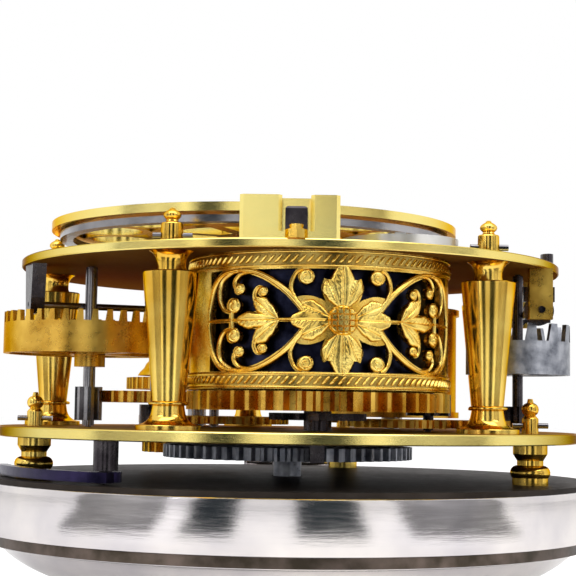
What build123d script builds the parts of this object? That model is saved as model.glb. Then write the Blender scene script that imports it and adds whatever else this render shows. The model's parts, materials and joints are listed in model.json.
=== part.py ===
from build123d import *
from math import acos, atan2, cos, degrees, hypot, pi, radians, sin, sqrt
import os

# Coach clock movement in its hinged bezel, dial side down, millimetres.
# The origin is the centre of the crystal's flat eye, +Z runs up towards the balance.

# Heights of the stack, from the crystal up
crystal_thick = 1.6
crystal_rise = 4.6
lip_thick = 0.6
bezel_foot = 6.4
strip_height = 1.6
band_height = 7.45
dial_plate_thick = 0.65
dial_gap = 5.85
pillar_plate_thick = 1.5
pillar_height = 24.2
upper_plate_thick = 1.2
cock_gap = 4.85
cock_thick = 1.25

# Main radii
eye_radius = 9.0
crystal_radius = 31.6
lip_cover = 1.2
band_radius = 48.0
bezel_wall = 1.3
dial_radius = 47.2
pillar_plate_radius = 45.0
upper_plate_radius = 42.1
pillar_circle = 38.3
cock_radius = 31.9
balance_radius = 30.6

# Clearances
running = 0.05
float_gap = 0.3
seat_gap = 0.05
edge_break = 0.15
shoulder = 0.2
pivot_short = 0.1
pivot_proud = 0.3

# Levels worked out from the stack
crystal_seat = crystal_rise
bezel_low = crystal_rise - lip_thick
strip_low = bezel_low + bezel_foot
band_low = strip_low + strip_height
band_top = band_low + band_height
dial_top = band_top + dial_plate_thick
pillar_plate_low = dial_top + dial_gap
floor_level = pillar_plate_low + pillar_plate_thick
upper_low = floor_level + pillar_height
upper_top = upper_low + upper_plate_thick
cock_low = upper_top + cock_gap
cock_top = cock_low + cock_thick

# Arbor centres of the two trains, chained by their pitch radii
wheel_pitch = 12.0
wheel_teeth = 48
contrate_centre = (-30.0, -12.0)
contrate_pinion = 1.75
third_pinion = 2.0
second_pinion = 2.5
third_bearing = 50.15
second_bearing = 50.0
fusee_bearing = 104.7
alarm_centre = (4.2, -21.8)
alarm_pitch = 18.2
alarm_teeth = 48
alarm_pinion = 3.03
alarm_second_bearing = 36.4
alarm_second_pitch = 12.0
alarm_second_teeth = 40
alarm_crown_pinion = 1.8
alarm_crown_bearing = 5.0
barrel_centre = (18.0, 22.0)
barrel_radius = 11.0
verge_centre = (-5.8, -0.5)
hour_teeth = 64
drive_teeth = 30


def along(start, distance, bearing):
    turn = radians(bearing)
    return (start[0] + distance * cos(turn), start[1] + distance * sin(turn))


def bearing_to(start, end):
    return degrees(atan2(end[1] - start[1], end[0] - start[0]))


def gap_between(start, end):
    return hypot(end[0] - start[0], end[1] - start[1])


third_centre = along(contrate_centre, wheel_pitch + contrate_pinion, third_bearing)
second_centre = along(third_centre, wheel_pitch + third_pinion, second_bearing)
fusee_centre = along(second_centre, wheel_pitch + second_pinion, fusee_bearing)
alarm_second_centre = along(alarm_centre, alarm_pitch + alarm_pinion, alarm_second_bearing)
alarm_crown_centre = along(
    alarm_second_centre, alarm_second_pitch + alarm_crown_pinion, alarm_crown_bearing
)
motion_distance = hypot(*fusee_centre)
hour_pitch = motion_distance * hour_teeth / (hour_teeth + drive_teeth)
drive_pitch = motion_distance - hour_pitch


def level(height):
    return floor_level + height


def flat(centre, height):
    return Plane((centre[0], centre[1], level(height)))


# A plane across X for a cross pin that starts at its reach from a foot or pillar
def pin_plane(place, reach, height):
    return Plane((place[0] - reach, place[1], height), x_dir=(0, 1, 0), z_dir=(1, 0, 0))


# Toothed outline with straight flanks; one tooth points at the angle called aim
def teeth_points(teeth, pitch, rise, depth, aim, root_share=0.31, tip_share=0.12):
    step = 2 * pi / teeth
    points = []
    for tooth in range(teeth):
        middle = radians(aim) + tooth * step
        for share, radius in (
            (-root_share, pitch - depth),
            (-tip_share, pitch + rise),
            (tip_share, pitch + rise),
            (root_share, pitch - depth),
        ):
            angle = middle + share * step
            points.append((radius * cos(angle), radius * sin(angle)))
    return points


# A crossed-out wheel: toothed rim, arms and hub
def wheel_face(teeth, pitch, rise, depth, aim, rim, arms, arm_width, hub, bore):
    Polygon(*teeth_points(teeth, pitch, rise, depth, aim), align=None)
    if arms:
        inner = pitch - depth - rim
        Circle(inner, mode=Mode.SUBTRACT)
        with PolarLocations(0, arms, start_angle=aim):
            Rectangle(inner + rim / 2, arm_width, align=(Align.MIN, Align.CENTER))
        Circle(hub)
    Circle(bore, mode=Mode.SUBTRACT)


# Solid discs stacked on one centre, each given as radius, foot and head
def turned(centre, steps):
    for radius, low, high in steps:
        with BuildSketch(flat(centre, low)) as disc:
            Circle(radius)
        extrude(disc.sketch, amount=high - low)


def pinion_teeth(centre, leaves, pitch, aim, low, high):
    lift = 2 * pitch / leaves
    with BuildSketch(flat(centre, low)) as leaf:
        Polygon(
            *teeth_points(leaves, pitch, 0.62 * lift, 1.05 * lift, aim, 0.26, 0.13),
            align=None,
        )
    extrude(leaf.sketch, amount=high - low)


def save(part, name):
    part.label = name
    export_step(part, "parts/" + name + ".step")


os.makedirs("parts", exist_ok=True)

# Bezel: silver ring with a bulged band, a recessed strip and a moulded foot
band_cut_in = 1.2
strip_cut_in = 1.4
foot_shoulder = 3.5
hinge_radius = 1.5
hinge_pin_radius = 0.6
knuckle_length = 5.0
hinge_y = band_radius + 1.5
hinge_z = dial_top + 0.4
lip_radius = crystal_radius - lip_cover

with BuildPart() as bezel:
    with BuildSketch(Plane.XZ):
        with BuildLine():
            Polyline(
                (lip_radius, crystal_seat),
                (lip_radius, bezel_low),
                (lip_radius + 1.6, bezel_low),
            )
            Spline(
                (lip_radius + 1.6, bezel_low),
                (band_radius - foot_shoulder - 4.5, bezel_low + 3.4),
                (band_radius - foot_shoulder, strip_low - 0.4),
            )
            Polyline(
                (band_radius - foot_shoulder, strip_low - 0.4),
                (band_radius - strip_cut_in, strip_low),
                (band_radius - strip_cut_in, band_low),
                (band_radius - band_cut_in, band_low),
            )
            ThreePointArc(
                (band_radius - band_cut_in, band_low),
                (band_radius, band_low + 0.5 * band_height),
                (band_radius - 0.4, band_top),
            )
            Polyline(
                (band_radius - 0.4, band_top),
                (band_radius - 0.4 - bezel_wall, band_top),
                (band_radius - band_cut_in - bezel_wall, strip_low + 1.2),
                (crystal_radius + 2.0, crystal_seat + crystal_thick),
                (crystal_radius, crystal_seat + crystal_thick),
                (crystal_radius, crystal_seat),
                (lip_radius, crystal_seat),
            )
        make_face()
    revolve(axis=Axis.Z)
    near = knuckle_length / 2 + float_gap
    for start in (near, -near - knuckle_length):
        with BuildSketch(Plane((start, 0, 0), x_dir=(0, 1, 0), z_dir=(1, 0, 0))):
            with Locations((hinge_y, hinge_z)):
                Circle(hinge_radius)
            with Locations((hinge_y - 1.3, hinge_z - 2.6)):
                Rectangle(2.0, 3.2)
        extrude(amount=knuckle_length)
    with BuildSketch(Plane((-2 * knuckle_length, 0, 0), x_dir=(0, 1, 0), z_dir=(1, 0, 0))):
        with Locations((hinge_y, hinge_z)):
            Circle(hinge_pin_radius)
    extrude(amount=4 * knuckle_length, mode=Mode.SUBTRACT)
save(bezel.part, "bezel")

with BuildPart() as hinge_pin:
    pin_half = 1.5 * knuckle_length + float_gap + 0.4
    with BuildSketch(Plane((-pin_half, 0, 0), x_dir=(0, 1, 0), z_dir=(1, 0, 0))):
        with Locations((hinge_y, hinge_z)):
            Circle(hinge_pin_radius)
    extrude(amount=2 * pin_half)
save(hinge_pin.part, "hinge_pin")

# Crystal: domed glass with a flat eye
with BuildPart() as crystal:
    with BuildSketch(Plane.XZ):
        with BuildLine():
            Line((0, 0), (eye_radius, 0))
            ThreePointArc(
                (eye_radius, 0),
                ((eye_radius + lip_radius) / 2, 0.36 * crystal_rise),
                (lip_radius - 0.1, crystal_rise),
            )
            Polyline(
                (lip_radius - 0.1, crystal_rise),
                (crystal_radius, crystal_rise),
                (crystal_radius, crystal_rise + crystal_thick),
                (lip_radius - 1.0, crystal_rise + crystal_thick),
            )
            ThreePointArc(
                (lip_radius - 1.0, crystal_rise + crystal_thick),
                ((eye_radius + lip_radius) / 2, 0.36 * crystal_rise + crystal_thick),
                (eye_radius, crystal_thick),
            )
            Polyline((eye_radius, crystal_thick), (0, crystal_thick), (0, 0))
        make_face()
    revolve(axis=Axis.Z)
save(crystal.part, "crystal")

# Dial side
arbor_sizes = {
    "contrate": (contrate_centre, 0.9, 0.45),
    "third": (third_centre, 0.6, 0.4),
    "second": (second_centre, 0.8, 0.45),
    "fusee": (fusee_centre, 1.6, 1.3),
    "barrel": (barrel_centre, 1.8, 1.3),
    "alarm": (alarm_centre, 2.0, 1.5),
    "alarm_second": (alarm_second_centre, 0.8, 0.45),
    "alarm_crown": (alarm_crown_centre, 0.8, 0.4),
}
pipe_radius = 2.2
post_radius = 1.5
dial_hole = pipe_radius + 0.3
foot_places = ((-38.3, -10.0), (35.3, -18.0), (10.2, 38.2))
foot_tenon = 1.2
pillar_angles = [-25 + 72 * turn for turn in range(5)]
pillar_places = [
    (pillar_circle * sin(radians(angle)), -pillar_circle * cos(radians(angle)))
    for angle in pillar_angles
]
pillar_tenon = 1.6
verge_hole = 1.8

with BuildPart() as dial_plate:
    with BuildSketch(Plane.XY.offset(band_top)):
        Circle(dial_radius)
        Circle(dial_hole, mode=Mode.SUBTRACT)
    extrude(amount=dial_plate_thick)
    with BuildSketch(Plane((-knuckle_length / 2, 0, 0), x_dir=(0, 1, 0), z_dir=(1, 0, 0))):
        with Locations((hinge_y, hinge_z)):
            Circle(hinge_radius)
        with Locations((hinge_y - 1.6, band_top + dial_plate_thick / 2)):
            Rectangle(3.2, dial_plate_thick)
    extrude(amount=knuckle_length)
    with BuildSketch(Plane((-knuckle_length, 0, 0), x_dir=(0, 1, 0), z_dir=(1, 0, 0))):
        with Locations((hinge_y, hinge_z)):
            Circle(hinge_pin_radius + running)
    extrude(amount=2 * knuckle_length, mode=Mode.SUBTRACT)
save(dial_plate.part, "dial_plate")

chapter_inner = 24.0
chapter_outer = 36.0
chapter_thick = 0.8
alarm_disc_radius = 15.0
alarm_disc_thick = 0.6
disc_gap = 0.2

with BuildPart() as chapter_ring:
    with BuildSketch(Plane.XY.offset(band_top - chapter_thick)):
        Circle(chapter_outer)
        Circle(chapter_inner, mode=Mode.SUBTRACT)
    extrude(amount=chapter_thick)
save(chapter_ring.part, "chapter_ring")

disc_high = band_top - disc_gap
with BuildPart() as alarm_disc:
    with BuildSketch(Plane.XY.offset(disc_high - alarm_disc_thick)):
        Circle(alarm_disc_radius)
        Circle(pipe_radius + running, mode=Mode.SUBTRACT)
    extrude(amount=alarm_disc_thick)
    with BuildSketch(Plane.XY.offset(disc_high - alarm_disc_thick)):
        with Locations((0, -0.86 * alarm_disc_radius)):
            Rectangle(1.6, 5.0)
    extrude(amount=alarm_disc_thick / 2)
save(alarm_disc.part, "alarm_disc")

# Hour wheel under the pillar plate, on a post, with its pipe through the dial
motion_low = -4.5
motion_high = -2.6
hand_thick = 0.5
hand_length = 30.0
post_flange_radius = 3.2
post_flange_thick = 0.8
hand_top = disc_high - alarm_disc_thick - disc_gap
with BuildPart() as centre_post:
    with BuildSketch(Plane.XY.offset(hand_top - hand_thick)):
        Circle(post_radius)
    extrude(amount=pillar_plate_low - hand_top + hand_thick)
    with BuildSketch(Plane.XY.offset(pillar_plate_low - post_flange_thick)):
        Circle(post_flange_radius)
    extrude(amount=post_flange_thick)
save(centre_post.part, "centre_post")

with BuildPart() as hour_wheel:
    with BuildSketch(Plane.XY.offset(level(motion_low))):
        wheel_face(
            hour_teeth, hour_pitch, 0.4, 0.55, bearing_to((0, 0), fusee_centre),
            2.4, 6, 2.4, 4.5, post_radius + running,
        )
    extrude(amount=motion_high - motion_low)
    with BuildSketch(Plane.XY.offset(hand_top - hand_thick)):
        Circle(pipe_radius)
        Circle(post_radius + running, mode=Mode.SUBTRACT)
    extrude(amount=level(motion_low) - hand_top + hand_thick)
save(hour_wheel.part, "hour_wheel")

with BuildPart() as hour_hand:
    with BuildSketch(Plane.XY.offset(hand_top - hand_thick)):
        with BuildLine():
            Polyline((-1.1, 0), (-0.5, 0.72 * hand_length), (0, hand_length))
            Polyline((0, hand_length), (0.5, 0.72 * hand_length), (1.1, 0), (-1.1, 0))
        make_face()
        with Locations((0, 0.62 * hand_length)):
            Ellipse(2.2, 3.0)
            Circle(0.9, mode=Mode.SUBTRACT)
        with Locations((0, -0.16 * hand_length)):
            Rectangle(1.6, 0.32 * hand_length)
        Circle(pipe_radius + 1.6)
        Circle(pipe_radius, mode=Mode.SUBTRACT)
    extrude(amount=hand_thick)
save(hour_hand.part, "hour_hand")

# Dial feet: turned columns between the plates, with tenons, finials and pins
foot_head = 5.1
foot_pin_radius = 0.4
foot_pin_height = 1.2
foot_pin_reach = 2.6
pin_hole_reach = 4.0
with BuildPart() as dial_feet:
    for place in foot_places:
        foot_low = dial_top - floor_level
        with BuildSketch(Plane(origin=(place[0], place[1], 0), x_dir=(1, 0, 0), z_dir=(0, -1, 0))):
            with BuildLine():
                Polyline((0, level(foot_low)), (2.6, level(foot_low)), (2.6, level(foot_low + 1.0)))
                ThreePointArc(
                    (2.6, level(foot_low + 1.0)),
                    (2.9, level(foot_low + 1.9)),
                    (1.9, level(foot_low + 2.8)),
                )
                Polyline(
                    (1.9, level(foot_low + 2.8)),
                    (1.9, level(foot_low + 3.5)),
                    (2.5, pillar_plate_low - 1.4),
                    (2.5, pillar_plate_low),
                    (foot_tenon, pillar_plate_low),
                    (foot_tenon, floor_level),
                    (foot_tenon, level(2.2)),
                    (0.75, level(2.7)),
                )
                ThreePointArc((0.75, level(2.7)), (1.25, level(3.6)), (0.5, level(4.5)))
                Polyline(
                    (0.5, level(4.5)), (0.35, level(foot_head)), (0, level(foot_head)),
                    (0, level(foot_low)),
                )
            make_face()
        revolve(axis=Axis((place[0], place[1], 0), (0, 0, 1)))
    for place in foot_places:
        with BuildSketch(pin_plane(place, pin_hole_reach, level(foot_pin_height))):
            Circle(foot_pin_radius)
        extrude(amount=2 * pin_hole_reach, mode=Mode.SUBTRACT)
save(dial_feet.part, "dial_feet")

with BuildPart() as dial_pins:
    for place in foot_places:
        with BuildSketch(pin_plane(place, foot_pin_reach, level(foot_pin_height))):
            Circle(foot_pin_radius)
        extrude(amount=2 * foot_pin_reach)
save(dial_pins.part, "dial_pins")

# Plates
with BuildPart() as pillar_plate:
    with BuildSketch(Plane.XY.offset(pillar_plate_low)):
        Circle(pillar_plate_radius)
        with Locations(*foot_places):
            Circle(foot_tenon + seat_gap, mode=Mode.SUBTRACT)
        for centre, body, pivot in arbor_sizes.values():
            with Locations(centre):
                Circle(pivot + running, mode=Mode.SUBTRACT)
    extrude(amount=pillar_plate_thick)
    edges_out = pillar_plate.edges().filter_by(GeomType.CIRCLE).sort_by(SortBy.RADIUS)[-2:]
    chamfer(edges_out, edge_break)
save(pillar_plate.part, "pillar_plate")

escape_level = 18.16
escape_turn = 201.6
staff_level = 18.1
staff_x = alarm_crown_centre[0] + 1.65
staff_y = alarm_crown_centre[1]
hammer_start = staff_y + 9.4
hammer_arm = 4.6
hammer_rod = 0.6
hammer_rise = 8.2
hammer_head = 2.2
with BuildPart() as upper_plate:
    with BuildSketch(Plane.XY.offset(upper_low)):
        Circle(upper_plate_radius)
        with Locations((staff_x + hammer_arm + 1.6, hammer_start + 0.6)):
            Rectangle(7.6, 2.6, mode=Mode.SUBTRACT)
        with Locations(*pillar_places):
            Circle(pillar_tenon, mode=Mode.SUBTRACT)
        with Locations(verge_centre):
            Circle(verge_hole, mode=Mode.SUBTRACT)
        for centre, body, pivot in arbor_sizes.values():
            with Locations(centre):
                Circle(pivot + running, mode=Mode.SUBTRACT)
    extrude(amount=upper_plate_thick)
    edges_out = upper_plate.edges().filter_by(GeomType.CIRCLE).sort_by(SortBy.RADIUS)[-2:]
    chamfer(edges_out, edge_break)
save(upper_plate.part, "upper_plate")

# Pillars: tapered, wide at the top, with a collar, a flared foot and a finial
pillar_wide = 3.86
pillar_narrow = 2.2
finial_radius = 1.5
finial_top = 4.75
pillar_pin_radius = 0.45
pillar_pin_height = 0.9
pillar_pin_reach = 2.6
pillar_pin_length = 5.4
for number, place in enumerate(pillar_places, 1):
    finial = pillar_height + upper_plate_thick
    with BuildPart() as pillar:
        with BuildSketch(Plane(origin=(place[0], place[1], 0), x_dir=(1, 0, 0), z_dir=(0, -1, 0))):
            with BuildLine():
                Polyline((0, level(0)), (4.4, level(0)), (4.4, level(0.7)))
                ThreePointArc((4.4, level(0.7)), (3.2, level(1.25)), (2.35, level(2.2)))
                Polyline(
                    (2.35, level(2.2)),
                    (2.15, level(3.3)),
                    (2.7, level(3.45)),
                    (2.7, level(3.75)),
                    (pillar_narrow, level(3.9)),
                    (pillar_wide, level(pillar_height - 3.0)),
                    (pillar_wide - 0.2, level(pillar_height - 2.8)),
                    (2.1, level(pillar_height - 2.7)),
                    (2.0, level(pillar_height - 1.6)),
                )
                ThreePointArc(
                    (2.0, level(pillar_height - 1.6)),
                    (2.3, level(pillar_height - 0.8)),
                    (3.0, level(pillar_height)),
                )
                Polyline(
                    (3.0, level(pillar_height)),
                    (pillar_tenon, level(pillar_height)),
                    (pillar_tenon, level(finial)),
                    (finial_radius, level(finial)),
                    (finial_radius, level(finial + 2.6)),
                    (0.8, level(finial + 3.1)),
                )
                ThreePointArc(
                    (0.8, level(finial + 3.1)),
                    (1.4, level(finial + 3.8)),
                    (0.5, level(finial + 4.5)),
                )
                Polyline(
                    (0.5, level(finial + 4.5)),
                    (0.3, level(finial + finial_top)),
                    (0, level(finial + finial_top)),
                    (0, level(0)),
                )
            make_face()
        revolve(axis=Axis((place[0], place[1], 0), (0, 0, 1)))
        with BuildSketch(pin_plane(place, pin_hole_reach, level(finial + pillar_pin_height))):
            Circle(pillar_pin_radius)
        extrude(amount=2 * pin_hole_reach, mode=Mode.SUBTRACT)
    save(pillar.part, "pillar_" + str(number))

with BuildPart() as pillar_pins:
    for place in pillar_places:
        height = level(pillar_height + upper_plate_thick + pillar_pin_height)
        with BuildSketch(pin_plane(place, pillar_pin_reach, height)):
            Circle(pillar_pin_radius)
        extrude(amount=pillar_pin_length)
save(pillar_pins.part, "pillar_pins")

# Alarm drum: a fixed pierced barrel under the upper plate
drum_radius = 18.5
drum_wall = 0.9
drum_low = 5.75
window_low = 8.0
window_high = 21.6
window_turn = 125.6
drum_facing = -81.5
leaf_depth = 1.6


def drum_plane(turn):
    angle = radians(turn)
    middle = level((window_low + window_high) / 2)
    x = alarm_centre[0] + (drum_radius - drum_wall / 2) * cos(angle)
    y = alarm_centre[1] + (drum_radius - drum_wall / 2) * sin(angle)
    return Plane((x, y, middle), x_dir=(-sin(angle), cos(angle), 0), z_dir=(cos(angle), sin(angle), 0))


# A leaf or petal, pointed at its tip, from its root along a bearing
def petal(root, bearing, length, width):
    tip = along(root, length, bearing)
    middle = along(root, 0.55 * length, bearing)
    left = along(middle, width / 2, bearing + 90)
    right = along(middle, width / 2, bearing - 90)
    with BuildLine() as outline:
        ThreePointArc(root, left, tip)
        ThreePointArc(tip, right, root)
    make_face(outline.edges())


# A stem of even width along a smooth curve
def stem(points, width):
    with BuildLine() as run:
        Spline(*points)
    trace(run.edges(), line_width=width)


# One quarter of the panel: side and up are 1 or -1, points run along the wall and up it
def quarter(side, up):
    def placed(*points):
        return [(side * along_wall, up * rise) for along_wall, rise in points]

    stem(placed((5.2, 1.4), (7.4, 3.8), (9.8, 5.5), (12.3, 6.5), (14.8, 6.8)), 0.8)
    stem(placed((14.6, 6.8), (17.4, 6.3), (19.4, 4.4), (20.4, 1.5), (20.6, -0.2)), 0.75)
    stem(placed((12.0, 6.4), (14.0, 6.2), (15.1, 5.2), (14.7, 4.2)), 0.45)
    stem(placed((15.6, 6.6), (17.7, 5.2), (18.0, 3.2), (17.0, 1.6), (15.7, 1.2)), 0.55)
    stem(placed((11.2, 2.2), (11.9, 3.3), (11.4, 4.3), (10.6, 4.3)), 0.45)
    stem(placed((5.9, 2.2), (6.8, 4.2), (6.3, 6.0), (5.3, 6.9)), 0.5)
    for ball, size in (((14.3, 4.2), 0.75), ((15.3, 2.0), 1.05), ((10.7, 3.8), 0.65), ((4.8, 5.8), 1.05)):
        with Locations(*placed(ball)):
            Circle(size)
    bearing = 90 - side * 90
    petal(placed((0.9, 0.5))[0], bearing + side * up * 27, 5.6, 2.3)
    petal(placed((0.4, 0.9))[0], up * (90 - side * 24), 5.1, 2.1)
    petal(placed((8.4, 0.0))[0], bearing + side * up * 38, 4.6, 2.2)


# The whole panel drawn flat: crossed flower, stems, leaves and curled scrolls
with BuildSketch() as flat_panel:
    Circle(1.9)
    for up in (1, -1):
        petal((0, 0), up * 90, 7.0, 2.7)
        for side in (1, -1):
            quarter(side, up)
    for side in (1, -1):
        petal((side * 0.5, 0), 90 - side * 90, 6.7, 2.4)
        petal((side * 8.2, 0), 90 - side * 90, 6.6, 2.3)
        with Locations((side * 8.2, 0)):
            Rectangle(4.0, 0.5)
        with Locations((side * 17.2, 0)):
            Rectangle(6.8, 0.5)
        with Locations((side * 15.6, 0)):
            Rectangle(0.6, 2.8)

# The panel is bent round the drum in narrow facets and trimmed to the wall
facets = 7
facet_turn = window_turn / facets
wall_middle = drum_radius - drum_wall / 2
facet_width = radians(facet_turn) * wall_middle
with BuildPart() as ornament:
    for facing in (drum_facing, drum_facing + 180):
        for facet in range(facets):
            place = facet - (facets - 1) / 2
            with BuildSketch(drum_plane(facing + place * facet_turn)):
                add(flat_panel.sketch.moved(Location((-place * facet_width, 0, 0))))
                Rectangle(facet_width + 0.3, window_high - window_low + 0.6, mode=Mode.INTERSECT)
            extrude(amount=leaf_depth, both=True)
    with BuildSketch(flat(alarm_centre, window_low - 0.3)):
        Circle(drum_radius)
        Circle(drum_radius - drum_wall, mode=Mode.SUBTRACT)
    extrude(amount=window_high - window_low + 0.6, mode=Mode.INTERSECT)

with BuildPart() as alarm_drum:
    with BuildSketch(flat(alarm_centre, drum_low)):
        Circle(drum_radius)
        Circle(drum_radius - drum_wall, mode=Mode.SUBTRACT)
    extrude(amount=pillar_height - drum_low)
    with BuildSketch(flat(alarm_centre, window_low)):
        for facing in (drum_facing, drum_facing + 180):
            with BuildLine():
                reach = 2 * drum_radius
                start = along((0, 0), reach, facing - window_turn / 2)
                bend = along((0, 0), reach, facing)
                end = along((0, 0), reach, facing + window_turn / 2)
                Polyline((0, 0), start, bend, end, (0, 0))
            make_face()
    extrude(amount=window_high - window_low, mode=Mode.SUBTRACT)
    for low, high in ((drum_low, window_low - 0.05), (window_high + 0.05, pillar_height)):
        for foot in (low + 0.15, high - 0.45):
            with BuildSketch(flat(alarm_centre, foot)):
                Circle(drum_radius + 0.15)
                Circle(drum_radius - 0.3, mode=Mode.SUBTRACT)
            extrude(amount=0.3)
    add(ornament.part)
save(alarm_drum.part, "alarm_drum")

# Alarm mainspring: one unbroken strip of half-turn arcs inside the drum
spring_strip = 0.3
spring_outer = drum_radius - drum_wall - 0.5
spring_step = 0.95
spring_turns = 8
spring_low = 7.2
spring_high = 22.4
spring_points = []
with BuildPart() as alarm_spring:
    with BuildSketch(flat(alarm_centre, spring_low)):
        with BuildLine():
            radius = spring_outer
            shift = 0.0
            for half in range(2 * spring_turns):
                facing = 1 if half % 2 == 0 else -1
                start = (shift + facing * radius, 0)
                top = (shift, facing * radius)
                end = (shift - facing * radius, 0)
                ThreePointArc(start, top, end)
                for sample in range(13):
                    angle = pi * sample / 12 + (0 if facing > 0 else pi)
                    spring_points.append((shift + radius * cos(angle), radius * sin(angle), half))
                radius = radius - spring_step / 2
                shift = shift - facing * spring_step / 2
        trace(line_width=spring_strip)
    extrude(amount=spring_high - spring_low)
save(alarm_spring.part, "alarm_spring")
least = min(
    hypot(a[0] - b[0], a[1] - b[1])
    for a in spring_points
    for b in spring_points
    if abs(a[2] - b[2]) >= 2
)
print("alarm spring: least gap between turns", round(least - spring_strip, 3), "mm")

# Alarm great wheel with its arbor and ratchet
great_low = 2.86
great_high = 5.46
with BuildPart() as alarm_great_wheel:
    with BuildSketch(flat(alarm_centre, great_low)):
        wheel_face(
            alarm_teeth, alarm_pitch, 0.65, 0.95, bearing_to(alarm_centre, alarm_second_centre),
            2.6, 5, 3.0, 5.5, arbor_sizes["alarm"][1],
        )
    extrude(amount=great_high - great_low)
save(alarm_great_wheel.part, "alarm_great_wheel")

ratchet_radius = 7.0
ratchet_teeth = 16
ratchet_depth = 1.1
ratchet_thick = 1.0
with BuildPart() as alarm_ratchet:
    with BuildSketch(flat(alarm_centre, great_low - 1.3)):
        points = []
        for tooth in range(ratchet_teeth):
            turn = tooth * 360 / ratchet_teeth
            points.append(along((0, 0), ratchet_radius, turn))
            points.append(along((0, 0), ratchet_radius - ratchet_depth, turn + 2.0))
        Polygon(*points, align=None)
        Circle(arbor_sizes["alarm"][1], mode=Mode.SUBTRACT)
    extrude(amount=ratchet_thick)
save(alarm_ratchet.part, "alarm_ratchet")

square_side = 2.0
square_height = 3.0
with BuildPart() as alarm_arbor:
    pivot = arbor_sizes["alarm"][2]
    turned(
        alarm_centre,
        (
            (pivot, -pillar_plate_thick, 0.1),
            (arbor_sizes["alarm"][1], 0.1, drum_low),
            (3.2, drum_low, pillar_height - 0.3),
            (pivot, pillar_height - 0.3, pillar_height + upper_plate_thick + 0.2),
        ),
    )
    with BuildSketch(flat(alarm_centre, -pillar_plate_thick - square_height)):
        Rectangle(square_side, square_side)
    extrude(amount=square_height)
save(alarm_arbor.part, "alarm_arbor")


# An arbor between the plates with its pinion
def arbor_body(name, leaves, pitch, aim, low, high):
    centre, body, pivot = arbor_sizes[name]
    turned(
        centre,
        (
            (pivot, -pillar_plate_thick + pivot_short, shoulder),
            (body, shoulder, pillar_height - shoulder),
            (pivot, pillar_height - shoulder, pillar_height + upper_plate_thick - pivot_short),
        ),
    )
    pinion_teeth(centre, leaves, pitch, aim, low, high)


def gap_aim(centre, driver, leaves):
    return bearing_to(centre, driver) + 180 / leaves


with BuildPart() as alarm_second_arbor:
    arbor_body(
        "alarm_second", 8, alarm_pinion, gap_aim(alarm_second_centre, alarm_centre, 8), 2.4, 5.6
    )
save(alarm_second_arbor.part, "alarm_second_arbor")

second_low = 0.6
second_high = 1.8
with BuildPart() as alarm_second_wheel:
    with BuildSketch(flat(alarm_second_centre, second_low)):
        wheel_face(
            alarm_second_teeth, alarm_second_pitch, 0.36, 0.6,
            bearing_to(alarm_second_centre, alarm_crown_centre), 1.6, 4, 1.4, 2.6,
            arbor_sizes["alarm_second"][1],
        )
    extrude(amount=second_high - second_low)
save(alarm_second_wheel.part, "alarm_second_wheel")

with BuildPart() as alarm_crown_arbor:
    arbor_body(
        "alarm_crown", 6, alarm_crown_pinion,
        gap_aim(alarm_crown_centre, alarm_second_centre, 6), 0.4, 4.0,
    )
save(alarm_crown_arbor.part, "alarm_crown_arbor")


# A crown wheel: a cup whose rim is cut into pointed teeth on a vertical axis
def crown_cup(centre, teeth, outer, wall, low, root, tip, arms, arm_width, hub, bore, aim, lean):
    with BuildSketch(flat(centre, low)) as rim:
        Circle(outer)
        Circle(outer - wall, mode=Mode.SUBTRACT)
    extrude(rim.sketch, amount=tip - low)
    with BuildSketch(flat(centre, low)) as spokes:
        with PolarLocations(0, arms, start_angle=aim):
            Rectangle(outer - wall / 2, arm_width, align=(Align.MIN, Align.CENTER))
        Circle(hub)
        Circle(bore, mode=Mode.SUBTRACT)
    extrude(spokes.sketch, amount=1.2)
    step = 2 * outer * sin(pi / teeth)
    land = 0.14 * step
    root_half = 0.30 * step
    for tooth in range(teeth):
        turn = radians(aim + (tooth + 0.5) * 360 / teeth)
        plane = Plane(
            (centre[0], centre[1], level(root)),
            x_dir=(-sin(turn), cos(turn), 0),
            z_dir=(cos(turn), sin(turn), 0),
        )
        with BuildSketch(plane) as notch:
            with BuildLine():
                Polyline(
                    (-step / 2 + land + lean * step * 0.5, tip - root + 0.5),
                    (-root_half + lean * step * 0.25, 0),
                    (root_half - 0.1 * step, 0),
                    (step / 2 - land, tip - root + 0.5),
                    (-step / 2 + land + lean * step * 0.5, tip - root + 0.5),
                )
            make_face()
        extrude(notch.sketch, amount=1.5 * outer, mode=Mode.SUBTRACT)


crown_radius = 7.9
crown_tip = 16.4
with BuildPart() as alarm_crown_wheel:
    crown_cup(
        alarm_crown_centre, 13, crown_radius, 0.7, 8.8, 13.8, crown_tip, 4, 1.6, 2.2,
        arbor_sizes["alarm_crown"][1], 0, 0.0,
    )
save(alarm_crown_wheel.part, "alarm_crown_wheel")

contrate_radius = 12.8
contrate_tip = 16.9
contrate_low = 10.8
escape_direction = (cos(radians(escape_turn)), sin(radians(escape_turn)))
reach = (contrate_centre[0] - verge_centre[0], contrate_centre[1] - verge_centre[1])
contrate_along = reach[0] * escape_direction[0] + reach[1] * escape_direction[1]
contrate_across = reach[0] * escape_direction[1] - reach[1] * escape_direction[0]
contrate_mesh = contrate_radius - 0.4
pinion_along = contrate_along - sqrt(contrate_mesh**2 - contrate_across**2)
mesh_place = along(verge_centre, pinion_along, escape_turn)
contrate_teeth = 38
contrate_aim = bearing_to(contrate_centre, mesh_place) + 180 / contrate_teeth
with BuildPart() as contrate_wheel:
    crown_cup(
        contrate_centre, contrate_teeth, contrate_radius, 0.8, contrate_low, 15.3, contrate_tip,
        4, 2.0, 3.2, arbor_sizes["contrate"][1], contrate_aim, 0.0,
    )
    with BuildSketch(flat(contrate_centre, contrate_low - 1.8)):
        Circle(2.3)
        Circle(arbor_sizes["contrate"][1], mode=Mode.SUBTRACT)
    extrude(amount=1.8)
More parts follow.
